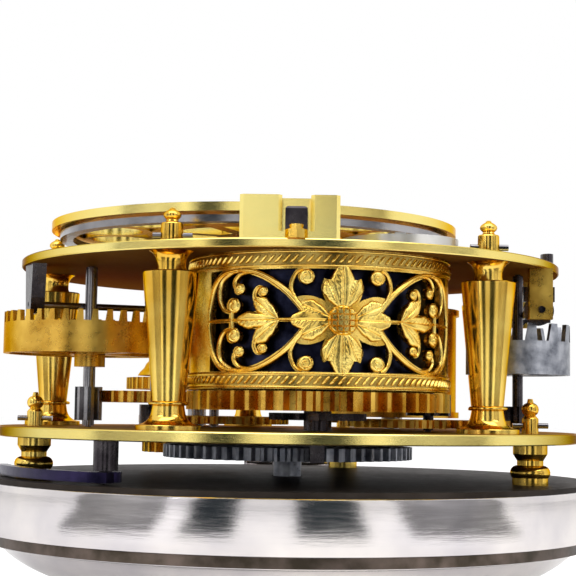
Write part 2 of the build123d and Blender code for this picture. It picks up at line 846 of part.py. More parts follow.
save(contrate_wheel.part, "contrate_wheel")

with BuildPart() as contrate_arbor:
    arbor_body(
        "contrate", 7, contrate_pinion, gap_aim(contrate_centre, third_centre, 7), 1.0, 6.0
    )
save(contrate_arbor.part, "contrate_arbor")


# Plain train wheels on their arbors
def train_wheel(name, other, low, high):
    centre, body, pivot = arbor_sizes[name]
    with BuildSketch(flat(centre, low)) as face:
        wheel_face(
            wheel_teeth, wheel_pitch, 0.3, 0.5, bearing_to(centre, other), 1.5, 4, 1.4, 2.8, body
        )
    extrude(face.sketch, amount=high - low)


with BuildPart() as third_wheel:
    train_wheel("third", contrate_centre, 3.8, 5.5)
save(third_wheel.part, "third_wheel")

with BuildPart() as third_arbor:
    arbor_body("third", 8, third_pinion, gap_aim(third_centre, second_centre, 8), 0.4, 3.5)
save(third_arbor.part, "third_arbor")

with BuildPart() as second_wheel:
    train_wheel("second", third_centre, 0.6, 1.8)
save(second_wheel.part, "second_wheel")

with BuildPart() as second_arbor:
    arbor_body("second", 10, second_pinion, gap_aim(second_centre, fusee_centre, 10), 5.9, 8.6)
save(second_arbor.part, "second_arbor")

# Fusee: great wheel, grooved cone and an arbor that drives the hour wheel
cone_low = 8.6
cone_high = 21.0
cone_wide = 9.6
cone_narrow = 5.2
grooves = 8
with BuildPart() as fusee_wheel:
    train_wheel("fusee", second_centre, 6.2, 8.2)
save(fusee_wheel.part, "fusee_wheel")

with BuildPart() as fusee_cone:
    fusee_plane = Plane(origin=(fusee_centre[0], fusee_centre[1], 0), x_dir=(1, 0, 0), z_dir=(0, -1, 0))
    with BuildSketch(fusee_plane):
        with BuildLine():
            outline = [(arbor_sizes["fusee"][1], level(cone_low)), (cone_wide + 0.8, level(cone_low))]
            pitch = (cone_high - cone_low - 1.0) / grooves
            for groove in range(grooves):
                foot = cone_low + 0.6 + groove * pitch
                wide = cone_wide - (cone_wide - cone_narrow) * (groove / grooves) ** 0.7
                outline.append((wide + 0.4, level(foot)))
                outline.append((wide - 0.3, level(foot + 0.5 * pitch)))
            outline.append((cone_narrow + 1.6, level(cone_high - 0.5)))
            outline.append((cone_narrow + 1.6, level(cone_high)))
            outline.append((arbor_sizes["fusee"][1], level(cone_high)))
            outline.append(outline[0])
            Polyline(*outline)
        make_face()
    revolve(axis=Axis((fusee_centre[0], fusee_centre[1], 0), (0, 0, 1)))
save(fusee_cone.part, "fusee_cone")

winding_side = 1.7
winding_height = 2.4
with BuildPart() as fusee_arbor:
    centre, body, pivot = arbor_sizes["fusee"]
    turned(
        centre,
        (
            (pivot, motion_low - shoulder, shoulder),
            (body, shoulder, pillar_height - shoulder),
            (pivot, pillar_height - shoulder, pillar_height + upper_plate_thick + pivot_proud),
        ),
    )
    with BuildSketch(flat(centre, pillar_height + upper_plate_thick + pivot_proud)):
        Rectangle(winding_side, winding_side)
    extrude(amount=winding_height)
save(fusee_arbor.part, "fusee_arbor")

with BuildPart() as drive_wheel:
    with BuildSketch(flat(fusee_centre, motion_low)):
        wheel_face(
            drive_teeth, drive_pitch, 0.4, 0.55, gap_aim(fusee_centre, (0, 0), drive_teeth),
            2.0, 0, 0, 0, arbor_sizes["fusee"][2],
        )
    extrude(amount=motion_high - motion_low)
save(drive_wheel.part, "drive_wheel")

# Going barrel with its arbor, and the gut line to the fusee
barrel_low = 2.0
barrel_high = 20.5
with BuildPart() as going_barrel:
    turned(
        barrel_centre,
        (
            (barrel_radius + 0.5, barrel_low, barrel_low + 1.0),
            (barrel_radius, barrel_low + 1.0, barrel_high - 1.0),
            (barrel_radius + 0.5, barrel_high - 1.0, barrel_high),
        ),
    )
    with BuildSketch(flat(barrel_centre, barrel_low - 1)):
        Circle(arbor_sizes["barrel"][1])
    extrude(amount=barrel_high - barrel_low + 2, mode=Mode.SUBTRACT)
save(going_barrel.part, "going_barrel")

with BuildPart() as barrel_arbor:
    centre, body, pivot = arbor_sizes["barrel"]
    turned(
        centre,
        (
            (pivot, -pillar_plate_thick + pivot_short, shoulder),
            (body, shoulder, pillar_height - shoulder),
            (pivot, pillar_height - shoulder, pillar_height + upper_plate_thick + 0.2),
        ),
    )
save(barrel_arbor.part, "barrel_arbor")

gut_radius = 0.4
gut_level = cone_low + 3.2
with BuildPart() as gut_line:
    span = gap_between(fusee_centre, barrel_centre)
    direction = bearing_to(fusee_centre, barrel_centre)
    fusee_touch = cone_wide + gut_radius + float_gap
    barrel_touch = barrel_radius + gut_radius + float_gap
    lean = degrees(acos((fusee_touch - barrel_touch) / span))
    begin = along(fusee_centre, fusee_touch, direction + lean)
    finish = along(barrel_centre, barrel_touch, direction + lean)
    with BuildSketch(
        Plane(
            (begin[0], begin[1], level(gut_level)),
            z_dir=(finish[0] - begin[0], finish[1] - begin[1], 0),
        )
    ):
        Circle(gut_radius)
    extrude(amount=gap_between(begin, finish))
save(gut_line.part, "gut_line")


# Escapement, laid out along the escape arbor's direction from the verge
def escape_plane(distance, across, height):
    out = (-escape_direction[1], escape_direction[0])
    return Plane(
        (
            verge_centre[0] + distance * escape_direction[0] + across * out[0],
            verge_centre[1] + distance * escape_direction[1] + across * out[1],
            level(height),
        ),
        x_dir=(out[0], out[1], 0),
        z_dir=(escape_direction[0], escape_direction[1], 0),
    )


def beside_verge(height):
    return Plane(
        (verge_centre[0], verge_centre[1], level(height)),
        x_dir=(escape_direction[0], escape_direction[1], 0),
        z_dir=(0, 0, 1),
    )


wheel_tip = 1.5
escape_radius = 3.5
pallet_reach = 1.35
escape_pinion = 2.05
counter_low = 33.8
counter_high = 35.9
with BuildPart() as escape_wheel:
    with BuildSketch(escape_plane(wheel_tip, 0, escape_level)):
        Circle(escape_radius)
        Circle(escape_radius - 0.45, mode=Mode.SUBTRACT)
    extrude(amount=3.0)
    with BuildSketch(escape_plane(wheel_tip + 2.4, 0, escape_level)):
        Circle(escape_radius)
        Circle(0.5, mode=Mode.SUBTRACT)
    extrude(amount=0.6)
    teeth = 11
    for tooth in range(teeth):
        turn = 2 * pi * tooth / teeth
        side = (-escape_direction[1], escape_direction[0])
        radial = (side[0] * cos(turn), side[1] * cos(turn), sin(turn))
        base = escape_plane(wheel_tip, 0, escape_level).origin
        plane = Plane(base, x_dir=(escape_direction[0], escape_direction[1], 0), z_dir=radial)
        with BuildSketch(plane):
            with BuildLine():
                Polyline((-0.5, -0.55), (-0.5, 0.75), (1.5, 0.45), (1.5, -0.3), (-0.5, -0.55))
            make_face()
        extrude(amount=2 * escape_radius, mode=Mode.SUBTRACT)
save(escape_wheel.part, "escape_wheel")

with BuildPart() as escape_arbor:
    for radius, near, far in (
        (0.25, wheel_tip - 0.9, wheel_tip + 0.4),
        (0.5, wheel_tip + 0.4, counter_low - 0.2),
        (0.3, counter_low - 0.2, counter_high - 0.2),
    ):
        with BuildSketch(escape_plane(near, 0, escape_level)):
            Circle(radius)
        extrude(amount=far - near)
    with BuildSketch(escape_plane(pinion_along - 1.3, 0, escape_level)):
        Polygon(*teeth_points(6, escape_pinion, 0.25, 0.75, -90, 0.17, 0.10), align=None)
    extrude(amount=2.6)
save(escape_arbor.part, "escape_arbor")

# Potence: column behind the verge, foot under it and a nose for the escape pivot
nose_near = 0.6
with BuildPart() as potence:
    with BuildSketch(beside_verge(12.4)):
        with Locations((-4.25, 0.4)):
            Rectangle(3.5, 6.0)
    extrude(amount=pillar_height - 12.4)
    with BuildSketch(beside_verge(12.4)):
        with Locations((-1.4, 0)):
            Rectangle(4.8, 3.0)
    extrude(amount=1.4)
    with BuildSketch(beside_verge(escape_level - 1.3)):
        with Locations((-0.6, 2.8)):
            Rectangle(4.0, 1.2)
        with Locations(((nose_near + 1.3) / 2, 1.2)):
            Rectangle(1.3 - nose_near, 4.4)
    extrude(amount=2.6)
    with BuildSketch(beside_verge(12.0)):
        Circle(0.35)
    extrude(amount=2.4, mode=Mode.SUBTRACT)
    with BuildSketch(escape_plane(nose_near - 0.1, 0, escape_level)):
        Circle(0.3)
    extrude(amount=1.0, mode=Mode.SUBTRACT)
save(potence.part, "potence")

counter_top = pillar_height - escape_level
with BuildPart() as counter_potence:
    with BuildSketch(escape_plane(counter_low, 0, escape_level)):
        with BuildLine():
            Polyline((-1.6, -1.4), (1.6, -1.4), (2.0, 1.0), (2.6, counter_top))
            Polyline((2.6, counter_top), (-2.6, counter_top), (-2.0, 1.0), (-1.6, -1.4))
        make_face()
        Circle(0.35, mode=Mode.SUBTRACT)
    extrude(amount=counter_high - counter_low)
save(counter_potence.part, "counter_potence")

# Verge staff with two flags
staff_radius = 0.4
pallet_turn = 50.0
pallet_thick = 0.4
pallet_height = 1.4
balance_low = cock_low - floor_level - 1.35
balance_thick = 1.0
with BuildPart() as verge:
    turned(
        verge_centre,
        (
            (0.3, 12.9, 14.2),
            (staff_radius, 14.2, balance_low + balance_thick + 0.2),
            (0.3, balance_low + balance_thick + 0.2, cock_low - floor_level + 0.5),
            (1.4, balance_low - 1.2, balance_low),
        ),
    )
    for height, turn in (
        (escape_level - escape_radius - 0.4, -pallet_turn),
        (escape_level + escape_radius - 1.0, pallet_turn),
    ):
        facing = radians(escape_turn + turn)
        with BuildSketch(
            Plane(beside_verge(height).origin, x_dir=(cos(facing), sin(facing), 0), z_dir=(0, 0, 1))
        ):
            with Locations((pallet_reach / 2 + 0.1, 0)):
                Rectangle(pallet_reach - 0.2, pallet_thick)
        extrude(amount=pallet_height)
save(verge.part, "verge")

with BuildPart() as balance_wheel:
    with BuildSketch(flat(verge_centre, balance_low)):
        Circle(balance_radius)
        Circle(balance_radius - 2.0, mode=Mode.SUBTRACT)
        with PolarLocations(0, 3, start_angle=30):
            Rectangle(balance_radius - 1.0, 1.8, align=(Align.MIN, Align.CENTER))
        Circle(3.4)
        Circle(staff_radius, mode=Mode.SUBTRACT)
    extrude(amount=balance_thick)
save(balance_wheel.part, "balance_wheel")

# Balance spring: a flat spiral from the collet to its stud
coil_strip = 0.22
coil_step = 1.0
coil_inner = 2.1
coil_turns = 4
coil_level = 26.2
coil_points = []
with BuildPart() as balance_spring:
    with BuildSketch(flat(verge_centre, coil_level)):
        with BuildLine():
            radius = coil_inner
            shift = 0.0
            for half in range(2 * coil_turns):
                facing = 1 if half % 2 == 0 else -1
                ThreePointArc(
                    (shift + facing * radius, 0), (shift, facing * radius), (shift - facing * radius, 0)
                )
                for sample in range(13):
                    angle = pi * sample / 12 + (0 if facing > 0 else pi)
                    coil_points.append((shift + radius * cos(angle), radius * sin(angle), half))
                radius = radius + coil_step / 2
                shift = shift + facing * coil_step / 2
        trace(line_width=coil_strip)
    extrude(amount=0.8)
    coil_end = shift + radius
    with BuildSketch(flat(verge_centre, pillar_height + upper_plate_thick)):
        with Locations((coil_end, 0)):
            Rectangle(1.0, 1.6)
    extrude(amount=coil_level + 1.0 - pillar_height - upper_plate_thick)
save(balance_spring.part, "balance_spring")
least = min(
    hypot(a[0] - b[0], a[1] - b[1])
    for a in coil_points
    for b in coil_points
    if abs(a[2] - b[2]) >= 2
)
print("balance spring: least gap between turns", round(least - coil_strip, 3), "mm")

# Cock: pierced round table over the balance with a foot on the upper plate
foot_left = -6.9
foot_right = 6.5
foot_front = -39.6
foot_back = -33.2
slot_left = -1.25
slot_right = 2.6
table_rim = 3.6
table_ring = 17.0
petal_ring = 5.95
with BuildPart() as balance_cock:
    with BuildSketch(flat(verge_centre, cock_low - floor_level)):
        Circle(cock_radius)
        Circle(cock_radius - table_rim, mode=Mode.SUBTRACT)
        with PolarLocations((cock_radius - table_rim + table_ring) / 2, 12, start_angle=15):
            Circle(petal_ring)
            Circle(petal_ring - 1.25, mode=Mode.SUBTRACT)
        Circle(table_ring)
        Circle(table_ring - 3.0, mode=Mode.SUBTRACT)
        with PolarLocations(0, 8, start_angle=22.5):
            Rectangle(table_ring - 1.5, 2.2, align=(Align.MIN, Align.CENTER))
        Circle(6.0)
        Circle(0.35, mode=Mode.SUBTRACT)
    extrude(amount=cock_thick)
    with BuildSketch(Plane.XY.offset(upper_top)):
        with Locations(((foot_left + foot_right) / 2, (foot_front + foot_back) / 2)):
            Rectangle(foot_right - foot_left, foot_back - foot_front)
    extrude(amount=cock_top - upper_top)
    with BuildSketch(Plane.XY.offset(cock_low)):
        with Locations(((foot_left + foot_right) / 2, foot_back + 1.5)):
            Rectangle(foot_right - foot_left, 4.0)
    extrude(amount=cock_thick)
    with BuildSketch(Plane.XY.offset(upper_top + 1.2)):
        with Locations(((slot_left + slot_right) / 2, foot_front)):
            Rectangle(slot_right - slot_left, 7.0)
    extrude(amount=cock_top - upper_top, mode=Mode.SUBTRACT)
    corner_edges = balance_cock.edges().filter_by(Axis.Z).group_by(Axis.Y)[0]
    chamfer(corner_edges, 0.5)
save(balance_cock.part, "balance_cock")

with BuildPart() as catch_block:
    middle = (slot_left + slot_right) / 2
    with BuildSketch(Plane.XY.offset(upper_top + 1.2)):
        with Locations((middle, foot_front + 2.1)):
            Rectangle(3.0, 2.6)
    extrude(amount=3.5)
    chamfer(catch_block.faces().sort_by(Axis.Z)[-1].edges(), 0.3)
save(catch_block.part, "catch_block")

with BuildPart() as cock_boss:
    with BuildSketch(Plane.XY.offset(upper_top)):
        with Locations((middle, foot_front - 1.6)):
            RegularPolygon(1.5, 8)
    extrude(amount=1.2)
    with BuildSketch(Plane.XY.offset(upper_top + 1.2)):
        with Locations((middle, foot_front - 1.6)):
            RegularPolygon(0.9, 8)
    extrude(amount=0.7)
save(cock_boss.part, "cock_boss")

# Regulator disc on the upper plate, with its square
regulator_place = (15.5, -26.0)
regulator_radius = 8.2
with BuildPart() as regulator_disc:
    with BuildSketch(Plane.XY.offset(upper_top + seat_gap)):
        with Locations(regulator_place):
            Circle(regulator_radius)
    extrude(amount=1.7)
    with BuildSketch(Plane.XY.offset(upper_top + seat_gap + 1.7)):
        with Locations(regulator_place):
            Rectangle(1.6, 1.6)
    extrude(amount=1.1)
save(regulator_disc.part, "regulator_disc")

# Alarm verge with its hammer, on a bracket under the upper plate
with BuildPart() as alarm_verge:
    with BuildSketch(Plane((staff_x, staff_y - 12.0, level(staff_level)), x_dir=(1, 0, 0), z_dir=(0, 1, 0))):
        Circle(0.5)
    extrude(amount=24.0)
    for offset, turn in ((-crown_radius + 0.35, -45), (crown_radius - 1.15, -135)):
        side = radians(turn)
        plane = Plane(
            (staff_x, staff_y + offset - 0.35, level(staff_level)),
            x_dir=(cos(side), 0, sin(side)),
            z_dir=(0, 1, 0),
        )
        with BuildSketch(plane):
            with Locations((0.75, 0)):
                Rectangle(1.2, 0.4)
        extrude(amount=1.5)
    disc_start = staff_y - crown_radius - 1.6
    with BuildSketch(Plane((staff_x, disc_start, level(staff_level)), x_dir=(1, 0, 0), z_dir=(0, 1, 0))):
        Circle(2.2)
        with Locations((0, -2.4)):
            Rectangle(4.6, 2.2)
    extrude(amount=1.2)
    with BuildSketch(Plane((staff_x, hammer_start, level(staff_level)), x_dir=(1, 0, 0), z_dir=(0, 1, 0))):
        Circle(1.3)
        with Locations((2.6, 0)):
            Rectangle(5.0, 1.2)
    extrude(amount=1.2)
    hammer_place = (staff_x + hammer_arm, hammer_start + 0.6)
    with BuildSketch(flat(hammer_place, staff_level)):
        Circle(hammer_rod)
    extrude(amount=hammer_rise + 0.4)
    with BuildSketch(flat(hammer_place, staff_level + hammer_rise)):
        Ellipse(1.0, 1.9)
    extrude(amount=hammer_head)
save(alarm_verge.part, "alarm_verge")

with BuildPart() as alarm_bracket:
    for y_low, y_high in ((staff_y - 11.4, staff_y - 9.6), (staff_y + 11.0, staff_y + 12.2)):
        with BuildSketch(Plane((staff_x, y_low, 0), x_dir=(1, 0, 0), z_dir=(0, 1, 0))):
            with Locations((0, -level((staff_level - 1.4 + pillar_height) / 2))):
                Rectangle(3.4, pillar_height - staff_level + 1.4)
            with Locations((0, -level(staff_level))):
                Circle(0.5 + running, mode=Mode.SUBTRACT)
        extrude(amount=y_high - y_low)
save(alarm_bracket.part, "alarm_bracket")

# Alarm release lever on the dial side, along the edge of the dial plate
arc_inner = 43.4
arc_outer = 45.0
lever_low = dial_top + 0.3
lever_thick = 1.4
lever_bore = 0.9
lever_boss = 2.2
post_shoulder = 1.7
post_place = (-24.5, -34.0)
with BuildPart() as release_lever:
    with BuildSketch(Plane.XY.offset(lever_low)):
        Circle(arc_outer)
        Circle(arc_inner, mode=Mode.SUBTRACT)
        with BuildLine():
            far = 2 * arc_outer
            start = along((0, 0), far, -165)
            bend = along((0, 0), far, -140)
            end = along((0, 0), far, -122)
            Polyline((0, 0), start, bend, end, (0, 0))
        make_face(mode=Mode.INTERSECT)
        with Locations(post_place):
            Circle(lever_boss)
        with Locations(along(post_place, 1.6, bearing_to((0, 0), post_place))):
            Rectangle(2.4, 2.4)
        with Locations(post_place):
            Circle(lever_bore + running, mode=Mode.SUBTRACT)
    extrude(amount=lever_thick)
save(release_lever.part, "release_lever")

with BuildPart() as lever_post:
    with BuildSketch(Plane.XY.offset(dial_top + 0.3 + lever_thick + 0.1)):
        with Locations(post_place):
            Circle(post_shoulder)
    extrude(amount=pillar_plate_low - dial_top - 0.4 - lever_thick)
    with BuildSketch(Plane.XY.offset(dial_top + 0.1)):
        with Locations(post_place):
            Circle(lever_bore)
    extrude(amount=lever_thick + 0.4)
save(lever_post.part, "lever_post")
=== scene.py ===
import bpy, json
from math import sin, cos, pi, radians, hypot, sqrt
from mathutils import Matrix, Vector


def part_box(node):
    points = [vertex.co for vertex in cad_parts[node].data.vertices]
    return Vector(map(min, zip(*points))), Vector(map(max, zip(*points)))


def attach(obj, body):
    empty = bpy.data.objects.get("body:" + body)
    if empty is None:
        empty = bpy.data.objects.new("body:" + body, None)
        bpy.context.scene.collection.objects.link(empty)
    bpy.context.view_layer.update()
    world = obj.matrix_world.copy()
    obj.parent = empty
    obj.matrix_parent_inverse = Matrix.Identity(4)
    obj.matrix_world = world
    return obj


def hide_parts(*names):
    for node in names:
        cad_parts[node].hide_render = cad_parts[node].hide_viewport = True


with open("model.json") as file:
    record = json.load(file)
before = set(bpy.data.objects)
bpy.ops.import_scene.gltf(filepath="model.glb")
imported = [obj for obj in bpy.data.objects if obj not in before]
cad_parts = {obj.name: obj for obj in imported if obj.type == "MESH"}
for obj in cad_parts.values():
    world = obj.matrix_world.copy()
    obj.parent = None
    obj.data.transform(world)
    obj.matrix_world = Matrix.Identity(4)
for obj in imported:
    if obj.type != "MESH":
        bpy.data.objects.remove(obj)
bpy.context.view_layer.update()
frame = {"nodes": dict(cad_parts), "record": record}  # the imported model: bodies, nodes, joints and record
mm = 0.001
print("frame loaded")

# heights of the plates, read from the frame
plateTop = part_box("pillar_plate")[1][2]
upperLow, upperHigh = (corner[2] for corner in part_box("upper_plate"))


def middle(node):
    low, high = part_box(node)
    return ((low[0] + high[0]) / 2, (low[1] + high[1]) / 2)


def bodyOf(node):
    for body, nodes in frame["record"]["behaviour"]["bodies"].items():
        if node in nodes:
            return body


# camera: in front, at the height of the gap between the plates, tilted up a little
cameraSettings = {
    "place": (-0.00032, -0.2312, 0.00288),  # its height is from the pillar plate's top
    "pitch": 0.084,
    "roll": 0.015,
    "focalPixels": 1455.7,
    "framePixels": 576,
    "sensor": 36,
    "nearest": 0.005,
}
cameraData = bpy.data.cameras.new("photoCamera")
cameraData.sensor_width = cameraSettings["sensor"]
cameraData.lens = cameraSettings["sensor"] * cameraSettings["focalPixels"] / cameraSettings["framePixels"]
cameraData.clip_start = cameraSettings["nearest"]
camera = bpy.data.objects.new("photoCamera", cameraData)
bpy.context.scene.collection.objects.link(camera)
cx, cy, cz = cameraSettings["place"]
camera.matrix_world = (
    Matrix.Translation((cx, cy, cz + plateTop))
    @ Matrix.Rotation(pi / 2 + cameraSettings["pitch"], 4, "X")
    @ Matrix.Rotation(cameraSettings["roll"], 4, "Z")
)
bpy.context.scene.camera = camera
bpy.context.scene.view_settings.view_transform = "Standard"
print("camera placed")


# nodes: each of these adds one to a tree and gives back its output
def plug(tree, value, socket):
    if isinstance(value, bpy.types.NodeSocket):
        tree.links.new(value, socket)
    else:
        socket.default_value = value


def mathNode(tree, operation, *values):
    node = tree.nodes.new("ShaderNodeMath")
    node.operation = operation
    for value, socket in zip(values, node.inputs):
        plug(tree, value, socket)
    return node.outputs[0]


def vectorNode(tree, operation, *values):
    node = tree.nodes.new("ShaderNodeVectorMath")
    node.operation = operation
    for value, socket in zip(values, node.inputs):
        plug(tree, value, socket)
    return node.outputs["Value" if operation == "LENGTH" else "Vector"]


def noiseNode(tree, vector, scale, detail=2, roughness=0.5):
    node = tree.nodes.new("ShaderNodeTexNoise")
    for label, value in (("Vector", vector), ("Scale", scale), ("Detail", detail), ("Roughness", roughness)):
        plug(tree, value, node.inputs[label])
    return node.outputs["Fac"]


def rangeNode(tree, value, low, high, toLow=0, toHigh=1):
    node = tree.nodes.new("ShaderNodeMapRange")
    plug(tree, value, node.inputs["Value"])
    for label, limit in (("From Min", low), ("From Max", high), ("To Min", toLow), ("To Max", toHigh)):
        plug(tree, limit, node.inputs[label])
    return node.outputs[0]


def mixNode(tree, factor, first, second, blend="MIX"):
    node = tree.nodes.new("ShaderNodeMix")
    node.data_type = "RGBA"
    node.blend_type = blend
    for place, value in ((0, factor), (6, first), (7, second)):  # 6 and 7 are the two colours
        plug(tree, value, node.inputs[place])
    return node.outputs[2]  # the mixed colour


def coordinates(tree, kind="Object"):
    return tree.nodes.new("ShaderNodeTexCoord").outputs[kind]


# shared effects
def newGroup(name, inputs, outputs):
    group = bpy.data.node_groups.new(name, "ShaderNodeTree")
    for label, kind, value in inputs:
        socket = group.interface.new_socket(name=label, in_out="INPUT", socket_type=kind)
        socket.default_value = value
    for label, kind in outputs:
        group.interface.new_socket(name=label, in_out="OUTPUT", socket_type=kind)
    start = group.nodes.new("NodeGroupInput")
    end = group.nodes.new("NodeGroupOutput")
    return group, start.outputs, end.inputs


# tone: slow patches, gloss: smears and polish marks, marks: fine scratches for bump
finishSettings = {
    "patchDetail": 5, "markDetail": 6, "markRoughness": 0.65, "toneLow": 0.35, "toneHigh": 0.68,
    "markShare": 0.6, "patchShare": 0.4, "glossLow": 0.3, "glossHigh": 0.7,
}


def buildMetalFinish():
    group, start, end = newGroup(
        "metalFinish",
        [
            ("Patch scale", "NodeSocketFloat", 120.0),
            ("Mark scale", "NodeSocketFloat", 900.0),
            ("Stretch", "NodeSocketVector", (1.0, 1.0, 1.0)),
            ("Gloss low", "NodeSocketFloat", 0.12),
            ("Gloss high", "NodeSocketFloat", 0.34),
        ],
        [("Tone", "NodeSocketFloat"), ("Roughness", "NodeSocketFloat"), ("Marks", "NodeSocketFloat")],
    )
    f = finishSettings
    place = coordinates(group)
    stretched = vectorNode(group, "MULTIPLY", place, start["Stretch"])
    patches = noiseNode(group, place, start["Patch scale"], f["patchDetail"])
    marks = noiseNode(group, stretched, start["Mark scale"], f["markDetail"], f["markRoughness"])
    tone = rangeNode(group, patches, f["toneLow"], f["toneHigh"])
    slow = mathNode(group, "MULTIPLY", patches, f["patchShare"])
    mixed = mathNode(group, "MULTIPLY_ADD", marks, f["markShare"], slow)
    gloss = rangeNode(group, mixed, f["glossLow"], f["glossHigh"], start["Gloss low"], start["Gloss high"])
    group.links.new(tone, end["Tone"])
    group.links.new(gloss, end["Roughness"])
    group.links.new(marks, end["Marks"])
    return group


# flat faces of a plate are rougher than its polished rim and darkened by painted shade: Above and Below are
# the painted shade tones of its two faces
faceShadeSettings = {"slopeFrom": 0.7, "slopeTo": 0.95, "roughen": 0.6}


def buildFaceDulling():
    group, start, end = newGroup(
        "faceShadeAndMatt",
        [
            ("Tone", "NodeSocketColor", (1.0, 1.0, 1.0, 1.0)),
            ("Roughness", "NodeSocketFloat", 0.2),
            ("Above", "NodeSocketColor", (1.0, 1.0, 1.0, 1.0)),
            ("Above matt", "NodeSocketFloat", 0.0),
            ("Below", "NodeSocketColor", (1.0, 1.0, 1.0, 1.0)),
            ("Below matt", "NodeSocketFloat", 0.0),
        ],
        [("Tone", "NodeSocketColor"), ("Roughness", "NodeSocketFloat")],
    )
    d = faceShadeSettings
    split = group.nodes.new("ShaderNodeSeparateXYZ")
    group.links.new(coordinates(group, "Normal"), split.inputs[0])
    tone, rough = start["Tone"], start["Roughness"]
    # each face that looks up or down is multiplied by its tone, a painted shade, and made rougher by its matt
    # share
    for face, sign in (("Above", 1), ("Below", -1)):
        facing = rangeNode(group, split.outputs["Z"], sign * d["slopeFrom"], sign * d["slopeTo"])
        tone = mixNode(group, facing, tone, start[face], "MULTIPLY")
        rough = mathNode(group, "MULTIPLY_ADD", facing, start[face + " matt"], rough)
    group.links.new(tone, end["Tone"])
    group.links.new(rough, end["Roughness"])
    return group


metalFinish = buildMetalFinish()
faceShadeAndMatt = buildFaceDulling()
markDepth = 0.1 * mm


# one metal: two tones, a gloss range, stretched polish marks, and the tone of its grazing edge
def metal(
    name, light, dark, gloss, patch=120, mark=900, stretch=(1, 1, 1), bump=0.08, metallic=1.0, edge=(1, 1, 1)
):
    material = bpy.data.materials.new(name)
    material.use_nodes = True
    tree = material.node_tree
    shader = tree.nodes["Principled BSDF"]
    shader.inputs["Metallic"].default_value = metallic
    shader.inputs["Specular Tint"].default_value = (*edge, 1)
    finish = tree.nodes.new("ShaderNodeGroup")
    finish.node_tree = metalFinish
    finish.inputs["Patch scale"].default_value = patch
    finish.inputs["Mark scale"].default_value = mark
    finish.inputs["Stretch"].default_value = stretch
    finish.inputs["Gloss low"].default_value = gloss[0]
    finish.inputs["Gloss high"].default_value = gloss[1]
    colour = mixNode(tree, finish.outputs["Tone"], (*dark, 1), (*light, 1))
    tree.links.new(colour, shader.inputs["Base Color"])
    tree.links.new(finish.outputs["Roughness"], shader.inputs["Roughness"])
    relief = tree.nodes.new("ShaderNodeBump")
    relief.inputs["Strength"].default_value = bump
    relief.inputs["Distance"].default_value = markDepth
    tree.links.new(finish.outputs["Marks"], relief.inputs["Height"])
    tree.links.new(relief.outputs["Normal"], shader.inputs["Normal"])
    return material


# the second edge tone, used for the two plates, is dark brown: painted shade on their grazing reflections
warmEdge, shadedPlateEdge, darkEdge = (0.85, 0.55, 0.15), (0.30, 0.16, 0.05), (0.25, 0.2, 0.18)
giltPolished = metal(
    "giltPolished", (0.96, 0.70, 0.17), (0.78, 0.45, 0.06), (0.10, 0.24), stretch=(1, 1, 0.08), edge=warmEdge
)
giltPlate = metal(
    "giltPlate", (0.98, 0.84, 0.30), (0.93, 0.72, 0.21), (0.10, 0.24),
    patch=60, stretch=(1, 1, 12), edge=warmEdge,
)
giltChased = metal(
    "giltChased", (0.95, 0.68, 0.17), (0.70, 0.40, 0.05), (0.16, 0.34),
    patch=300, mark=1600, bump=0.25, edge=warmEdge,
)
giltRelief = metal(
    "giltRelief", (0.97, 0.75, 0.21), (0.84, 0.54, 0.10), (0.16, 0.32),
    patch=400, mark=1800, bump=0.25, edge=warmEdge,
)
giltSatin = metal(
    "giltSatin", (0.86, 0.56, 0.11), (0.44, 0.21, 0.02), (0.20, 0.38), patch=150, bump=0.15, edge=warmEdge
)
plateDark = metal(
    "plateDark", (0.034, 0.028, 0.024), (0.018, 0.014, 0.011), (0.34, 0.50),
    patch=220, stretch=(1, 1, 8), bump=0.15, metallic=0.6, edge=darkEdge,
)
# dark brown metal for the painted shade band in the bezel's recess
shadeBandBrown = metal("shadeBandBrown", (0.13, 0.10, 0.085), (0.05, 0.04, 0.03), (0.3, 0.5), patch=300, bump=0.3)
silverBright = metal(
    "silverBright", (0.84, 0.79, 0.76), (0.58, 0.55, 0.57), (0.06, 0.20),
    patch=70, mark=700, stretch=(0.3, 0.3, 4), bump=0.09,
)
silverWorn = metal(
    "silverWorn", (0.60, 0.59, 0.57), (0.50, 0.49, 0.48), (0.28, 0.42), patch=150, bump=0.15
)
steelPolished = metal(
    "steelPolished", (0.42, 0.41, 0.42), (0.16, 0.15, 0.16), (0.10, 0.26), stretch=(1, 1, 8)
)
steelDark = metal("steelDark", (0.10, 0.09, 0.095), (0.03, 0.025, 0.03), (0.16, 0.36), patch=220, bump=0.2)
steelGrey = metal(
    "steelGrey", (0.40, 0.41, 0.45), (0.16, 0.17, 0.20), (0.24, 0.42), patch=500, mark=2200, bump=0.3
)
steelBlued = metal("steelBlued", (0.04, 0.03, 0.09), (0.012, 0.01, 0.03), (0.12, 0.30), patch=200)
springBlack = metal(
    "springBlack", (0.020, 0.022, 0.045), (0.002, 0.002, 0.006), (0.22, 0.44),
    patch=500, stretch=(1, 1, 14), bump=0.2,
)
waxBlack = metal("waxBlack", (0.02, 0.02, 0.02), (0.008, 0.008, 0.008), (0.35, 0.5), metallic=0.0)
gutBrown = metal("gutBrown", (0.42, 0.27, 0.12), (0.22, 0.13, 0.05), (0.45, 0.6), metallic=0.0)


